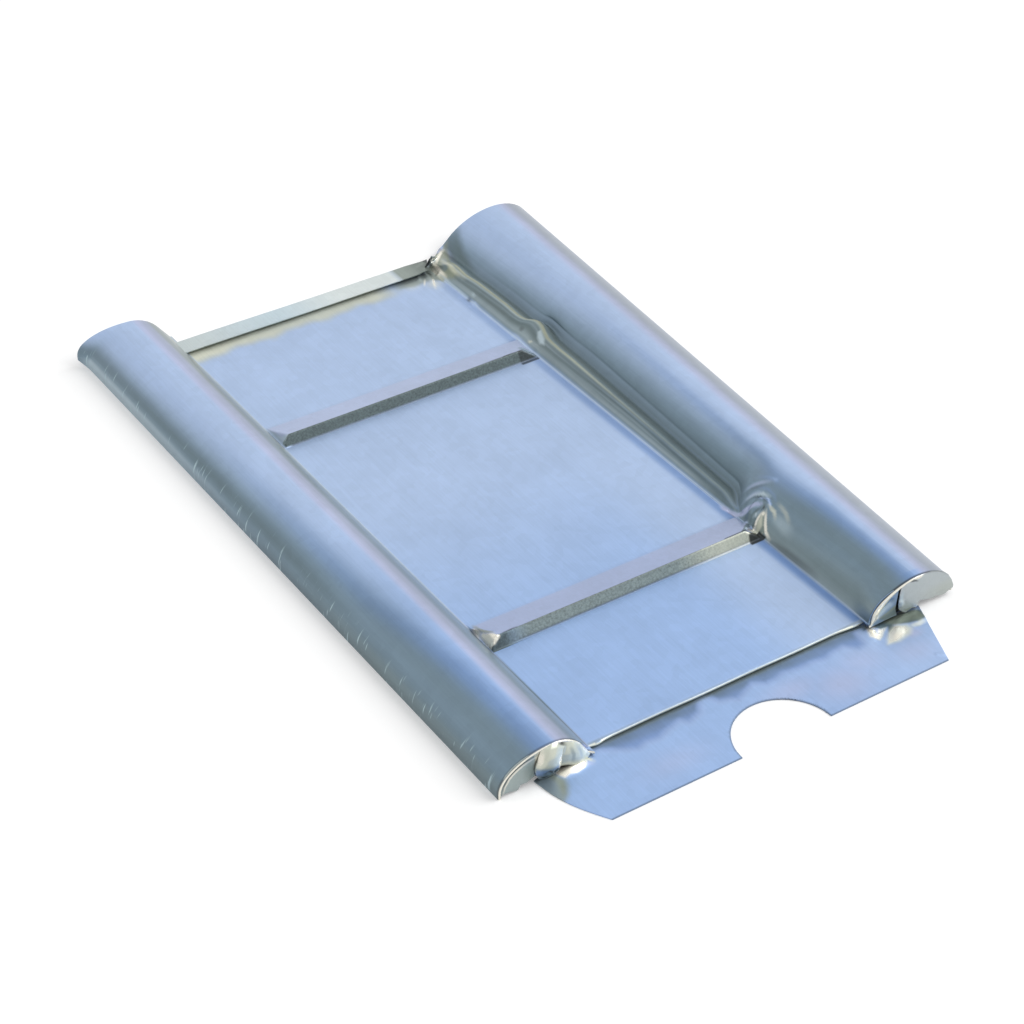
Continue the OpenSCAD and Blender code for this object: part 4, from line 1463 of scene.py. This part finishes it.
def flap(top, bottom, left, right, across, down, belly=0.0, power=0.8):
    """Grid of points between four edges, pressed outwards in the middle."""
    t = run_of(top, across)
    b = run_of(bottom, across)
    f = run_of(left, down)[:, None]
    r = run_of(right, down)[:, None]
    u = np.linspace(0, 1, across)[None, :, None]
    v = np.linspace(0, 1, down)[:, None, None]
    corners = (1 - u) * (1 - v) * t[0] + u * (1 - v) * t[-1] + (1 - u) * v * b[0] + u * v * b[-1]
    grid = (1 - v) * t + v * b + (1 - u) * f + u * r - corners
    pillow = (np.sin(np.pi * u) * np.sin(np.pi * v)).clip(0, 1) ** power
    return grid + belly * pillow * OUTWARD


def folded_end(name, flaps):
    """One mesh from several flaps whose outer faces look away from the roll."""
    points = []
    faces = []
    for grid in flaps:
        base = len(points)
        down, across = grid.shape[:2]
        points += [tuple(q) for q in to_metres(grid.reshape(-1, 3))]
        for j in range(down - 1):
            for i in range(across - 1):
                a = base + j * across + i
                faces.append((a, a + across, a + across + 1, a + 1))
    mesh = bpy.data.meshes.new(name)
    mesh.from_pydata(points, [], faces)
    mesh.materials.append(steel)
    return new_piece(name, mesh)


left_end = folded_end("left_roll_end", [
    # inner layer, behind the others, painted dark all over as the shade inside the roll
    flap(
        [
            (-51, -2.9, 5), (-46, -2.9, 11), (-38, -2.9, 15), (-28, -2.9, 16.8), (-18, -2.9, 15),
            (-10, -2.9, 10), (-4, -2.9, 3),
        ],
        [(-51.5, -2.9, 2), (-35, -2.9, 2.4), (-30, -2.9, -1.8), (-3.5, -2.9, -1.8)],
        [(-51, -2.9, 5), (-51.5, -2.9, 2)],
        [(-4, -2.9, 3), (-3.5, -2.9, -1.8)],
        across=60,
        down=24,
    ),
    # outer flap with its torn lower edge
    flap(
        [
            (-53.4, -4.9, -1.4), (-52.2, -4.8, 4.6), (-49.4, -4.8, 9.6), (-46.4, -4.8, 12),
            (-43.6, -4.8, 13.6), (-40.8, -4.8, 14.8), (-38, -4.8, 15.6), (-34.5, -4.8, 16.2),
            (-29.6, -4.8, 16.2),
        ],
        [
            (-53.2, -5, -2.3), (-50.8, -5, -1.1), (-46.9, -5.1, -1.3), (-43, -5.1, -2.3),
            (-42.2, -5.1, -1.8), (-41.3, -5.1, -0.1), (-40.2, -5.1, 0.3), (-38, -5.1, -0.2),
            (-36.9, -5.1, 0.2), (-35.2, -5.1, 0.9), (-32.6, -5.1, 2.1),
        ],
        [(-53.4, -4.9, -1.4), (-53.2, -5, -2.3)],
        [
            (-29.6, -4.8, 16.2), (-30.2, -5, 11.5), (-31.6, -5, 8.7), (-32.4, -5.1, 5.4),
            (-32.6, -5.1, 2.1),
        ],
        across=70,
        down=36,
        belly=0.6,
    ),
    # lobe beside the crease
    flap(
        [
            (-17.4, -5, 14.9), (-13.6, -5.2, 14.4), (-10.7, -5.2, 12.8), (-7.8, -5.2, 9.8),
            (-4.7, -5, 5.2), (-2.8, -4.8, 2.2), (-1.4, -4.7, -0.6),
        ],
        [
            (-19.9, -6.2, 2.4), (-15.6, -6.7, 0.9), (-11.7, -6.8, -1.2), (-9.4, -6.8, -1.8),
            (-7.4, -6.5, -1.5), (-5, -6, -1.8),
        ],
        [
            (-17.4, -5, 14.9), (-18.9, -5.8, 12.1), (-20.2, -6.2, 8.8), (-20.4, -6.3, 5.9),
            (-19.9, -6.2, 2.4),
        ],
        [(-1.4, -4.7, -0.6), (-2.3, -5, -1.4), (-3.9, -5.6, -1.7), (-5, -6, -1.8)],
        across=44,
        down=40,
        belly=3.0,
    ),
    # middle lobe over it
    flap(
        [
            (-29.9, -5.2, 16.2), (-26.6, -5.3, 17), (-23.8, -5.3, 17.5), (-20.4, -5.3, 16.9),
            (-17.7, -5.5, 14.6), (-16.5, -5.8, 13.6),
        ],
        [
            (-30.8, -5.2, -1.5), (-28.3, -6.4, -1.9), (-25.9, -7, -1.7), (-23.3, -7.3, -1.3),
            (-21.3, -7.3, 0.6), (-20.7, -7.2, 2.7),
        ],
        [
            (-29.9, -5.2, 16.2), (-32.1, -5.6, 11.3), (-33.2, -5.8, 8.9), (-33.8, -5.8, 6),
            (-33, -5.6, 2.3), (-30.8, -5.2, -1.5),
        ],
        [
            (-16.5, -5.8, 13.6), (-17.9, -6.6, 12.7), (-19.2, -7.4, 9.6), (-19.9, -7.6, 7),
            (-20.3, -7.4, 4.5), (-20.7, -7.2, 2.7),
        ],
        across=44,
        down=48,
        belly=3.4,
    ),
])
ends = Sheet(left_end.data)
ends.crumple((-26, -7, 2), (6, 8, 5), 1.6, 31, folds=6)
ends.crumple((-12, -7, 6), (7, 8, 7), 0.8, 32)
ends.fold((-28, -7, 3), (-22, -9, 3.5), 1.4, -1.2)
ends.fold((-24, -8, 1), (-22, -8, 4), 1.2, -1.0)
ends.settle()
x, y, z = ends.p.T
inner = y > -4.2
outer = np.logical_and(x < -30.5, np.logical_and(y > -5.75, ~inner)) * (z > -4)
lobes = ~inner * (x > -33.2)
# Painted shade inside the roll on the inner layer, and painted reflections, highlights and shade on the flaps
# and lobes
ends.paint("dark", inner * 1.0)
ends.paint("pale", ~inner * 0.25)
ends.paint("olive", ~inner * 0.78)
ends.paint("glow", lobes * 0.56)
ends.spots(
    "painted_shade", 1.0, ((-36, -5, 7), (4, 5, 5), 0.7), ((-35, -5, 2.5), (2.4, 5, 3), 0.8),
    ((-44, -5, 8), (7, 5, 5), 0.25), ((-26, -8, 2), (5.5, 6, 3.4), 0.8),
)
ends.spots(
    "glow", lobes, ((-24, -8, 13), (6, 6, 4), 0.7), ((-22, -8, 9), (6, 6, 4), 0.7),
    ((-12.5, -8, 5.5), (3.4, 6, 2.6), 0.7), ((-5.5, -6, 3.5), (2.8, 6, 4), 0.9),
    ((-9.5, -6, 9.5), (2, 6, 3), 0.6),
)
ends.spots("violet", lobes, ((-26, -8, 10.5), (4, 6, 3.2), 0.6), ((-10, -7, 3), (2, 5, 2), 0.5))
ends.spots("grey", lobes, ((-26.5, -8, 9.5), (3.4, 6, 3.6), 0.5), ((-14, -7, 10), (3, 5, 3), 0.5))
for tone, outline, strength, soft in (
    ("teal", [
        (-33.6, 7.4), (-26, 6.6), (-21.4, 6.2), (-20.6, 2), (-25, -2), (-31.4, -2), (-34, 3),
    ], 0.8, 1.2),
    ("deep", [(-33.6, 6.4), (-26, 5.2), (-21.8, 5.6), (-21.4, 2.4), (-26, 0.8), (-33, 1.8)], 0.75, 1.2),
    ("painted_shade", [(-30, 3.4), (-26, 4.6), (-21.4, 3.6), (-21.4, 0.4), (-26, -1.2), (-30, -0.4)], 0.7, 0.8),
):
    ends.patch(tone, outline, strength, soft, lobes, FRONT)
for tone, corners, width, strength in (
    ("painted_highlight", [(-29.4, 15.6), (-31.4, 11.3), (-32.6, 8.8)], 1.6, 0.95),
    ("painted_highlight", [(-21.2, 10.2), (-21.2, 7.6), (-21.4, 4.8)], 1.5, 0.9),
    ("painted_highlight", [(-19, 11.8), (-20, 9), (-20.2, 6)], 0.8, 0.8),
    ("painted_highlight", [(-7.2, 8.2), (-4.6, 4.2), (-2.4, 0.8)], 1.2, 0.9),
    ("pale", [(-16, 13.6), (-17.4, 11.4), (-18.6, 8.6)], 0.9, 0.8),
    ("olive", [(-14.4, 12.6), (-13, 7), (-13.6, 2)], 1.6, 0.7),
    ("painted_shade", [(-11, 11.4), (-8.6, 7), (-8, 2)], 1.4, 0.5),
    ("dark", [(-28.9, 3.2), (-27, 4.4), (-25.8, 3), (-24.2, 1.6)], 0.9, 0.85),
    ("dark", [(-30.9, 1), (-29, 0), (-26.6, 0.4)], 1.0, 0.8),
    ("dark", [(-25.6, 0.2), (-23.4, 0.9), (-21.6, 2.6)], 1.0, 0.8),
    ("dark", [(-31.2, -1), (-28.3, -1.5), (-25.9, -1.3), (-23.3, -0.9), (-21.3, 0.9)], 0.7, 0.9),
    ("dark", [(-19.4, 2.4), (-15.6, 1), (-11.7, -1), (-7.4, -1.3)], 0.9, 0.9),
    ("dark", [(-20.6, 16.6), (-18, 14.6), (-16.4, 13.4)], 0.9, 0.85),
    ("dark", [(-32, 12.2), (-33.6, 9), (-34, 5.6), (-33, 2)], 0.7, 0.75),
):
    ends.trace(tone, corners, width, strength, lobes, FRONT)
# A second painted highlight line under the rim, with a painted dark gap between them
inside_rim = [
    (-51, -1.6), (-49.9, 3), (-47.3, 7.2), (-44.6, 9.3), (-42.1, 10.7), (-39.7, 11.7), (-37.2, 12.4),
    (-34.2, 12.9), (-31.2, 13),
]
ends.trace("dark", [(x0 - 0.6, z0 + 0.9) for x0, z0 in inside_rim], 1.1, 0.85, outer, FRONT)
ends.trace("painted_highlight", inside_rim, 0.8, 0.9, outer, FRONT)
ends.finish()

right_end = folded_end("right_roll_end", [
    # inner layer, seen through the gap, painted dark all over as the shade inside the roll
    flap(
        [
            (172, -2.6, 4), (176, -2.6, 9.4), (183, -2.6, 13.8), (192, -2.6, 16.4), (204, -2.6, 16.4),
            (214, -2.6, 12), (221, -2.6, 3),
        ],
        [(171, -2.6, -1.8), (196, -2.6, -1.8), (202, -2.6, 2.2), (221, -2.6, 1.2)],
        [(172, -2.6, 4), (171, -2.6, -1.8)],
        [(221, -2.6, 3), (221, -2.6, 1.2)],
        across=60,
        down=24,
    ),
    # hollow flap beside the crease
    flap(
        [
            (168.6, -4.9, 1), (170, -4.9, 6), (172.6, -4.9, 10.2), (176, -4.9, 13.2), (180, -4.9, 15),
            (183.6, -4.9, 16), (187.2, -4.9, 16.4),
        ],
        [(170.6, -5, -1.6), (176.4, -5.2, -1), (180, -5.3, -0.8), (184, -5.3, -0.8), (187.4, -5.2, -0.9)],
        [(168.6, -4.9, 1), (170.6, -5, -1.6)],
        [
            (187.2, -4.9, 16.4), (186.9, -5, 12.5), (186.5, -5.1, 10), (186.2, -5.1, 6.9),
            (186, -5.1, 3.5), (187.4, -5.2, -0.9),
        ],
        across=50,
        down=40,
        belly=-0.9,
    ),
    # smooth closing plate
    flap(
        [
            (189.6, -5.2, 17.3), (192.5, -5.3, 18), (196.4, -5.5, 18.3), (199.8, -5.9, 18.7),
            (203.9, -5.9, 18.95), (207.8, -5.9, 18.7), (212.4, -5.9, 17.2), (216.4, -5.9, 14.8),
            (219.8, -5.9, 11.6),
        ],
        [
            (191, -5.4, -0.6), (193.2, -5.4, -1.7), (195.8, -5.4, -0.9), (197.7, -5.4, -0.5),
            (201.2, -5.3, -1.4), (201.5, -5.3, 1.1), (202.8, -5.3, 1.8), (206.3, -5.3, 0.9),
            (211.2, -5.3, -0.6), (213.8, -5.3, -0.1), (218.7, -5.5, -1.3), (221.2, -5.7, 0.2),
            (224.4, -5.8, 1.3),
        ],
        [
            (189.6, -5.2, 17.3), (188.3, -5.3, 15.2), (188, -5.3, 12.5), (187.8, -5.4, 9.4),
            (187.3, -5.4, 6.3), (187.9, -5.4, 2.9), (191, -5.4, -0.6),
        ],
        [(219.8, -5.9, 11.6), (222.6, -5.9, 7.2), (224.4, -5.8, 3), (224.4, -5.8, 1.3)],
        across=64,
        down=40,
        belly=0.5,
    ),
])
ends = Sheet(right_end.data)
ends.fold((189.5, -5.4, 3), (188.9, -5.4, 8), 2.2, 0.8, way=(0, -1, 0))
ends.fold((174, -5, 3), (185, -5, 10), 3.0, -0.8, way=(0, -1, 0))
ends.crumple((180, -5, 12), (6, 5, 4), 0.5, 41)
ends.settle()
x, y, z = ends.p.T
inner = y > -3.2
hollow = np.logical_and(x < 187.9, ~inner)
lid = np.logical_and(~hollow, ~inner)
# Painted shade inside the roll on the inner layer, and painted reflections, highlights and shade on the
# hollow flap and the closing plate
ends.paint("dark", inner * 1.0)
ends.paint("grey", lid * 0.54)
ends.paint("glow", lid * 0.30)
ends.paint("olive", lid * (0.17 + 0.24 * ramp01(x, 195, 220) * fade(z, 4, 12)))
ends.paint("teal", hollow * 0.85)
ends.spots("deep", hollow, ((174, -5, 7), (5, 4, 5), 0.7), ((181, -5, 11), (5, 4, 4), 0.5))
ends.trace("pale", [(171.8, 0.6), (175.6, 3.2), (180, 6.4), (184.6, 8.6)], 2.6, 0.9, hollow, FRONT)
ends.trace("painted_highlight", [(171.2, 0), (173.4, 1.4), (176, 3)], 1.0, 0.8, hollow, FRONT)
ends.patch("olive", [(176, 1.6), (182, 3.6), (185.8, 6), (187.4, 0), (180, -1)], 0.9, 0.8, hollow, FRONT)
ends.patch("painted_shade", [(176, 1), (182, 2.6), (185.8, 4), (187.4, 0), (180, -1)], 0.7, 0.8, hollow, FRONT)
ends.trace("glow", [(181.6, 14.4), (184.4, 15.2), (187, 15.4)], 0.9, 0.8, hollow, FRONT)
for tone, corners, width, strength in (
    ("pale", [(189.6, 13), (189.2, 8), (189.6, 3.2)], 1.6, 0.8),
    ("olive", [(190.6, 1.4), (194, -0.4), (199, 0.2)], 1.2, 0.7),
    ("dark", [(194, 17.6), (197, 17.4), (198.6, 16.6)], 0.8, 0.9),
    ("painted_highlight", [(196.4, 18.2), (199.8, 18.4), (202, 18.9)], 0.9, 0.95),
    ("dark", [(203, 19.2), (207.8, 18.6), (212.4, 17.1), (216.4, 14.7), (220.4, 11)], 0.5, 0.55),
    ("dark", [(189, 1.6), (190.4, -0.4), (192.2, -1.2)], 0.9, 0.7),
):
    ends.trace(tone, corners, width, strength, lid, FRONT)
ends.finish()

for piece in (left_end, right_end):
    thicken(piece, FLAP_SHARE)
    pieces.append(piece)

# ---------------------------------------------------------------- attach the pieces

for piece in pieces:
    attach(piece, "root")
    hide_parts("roof_sheet")
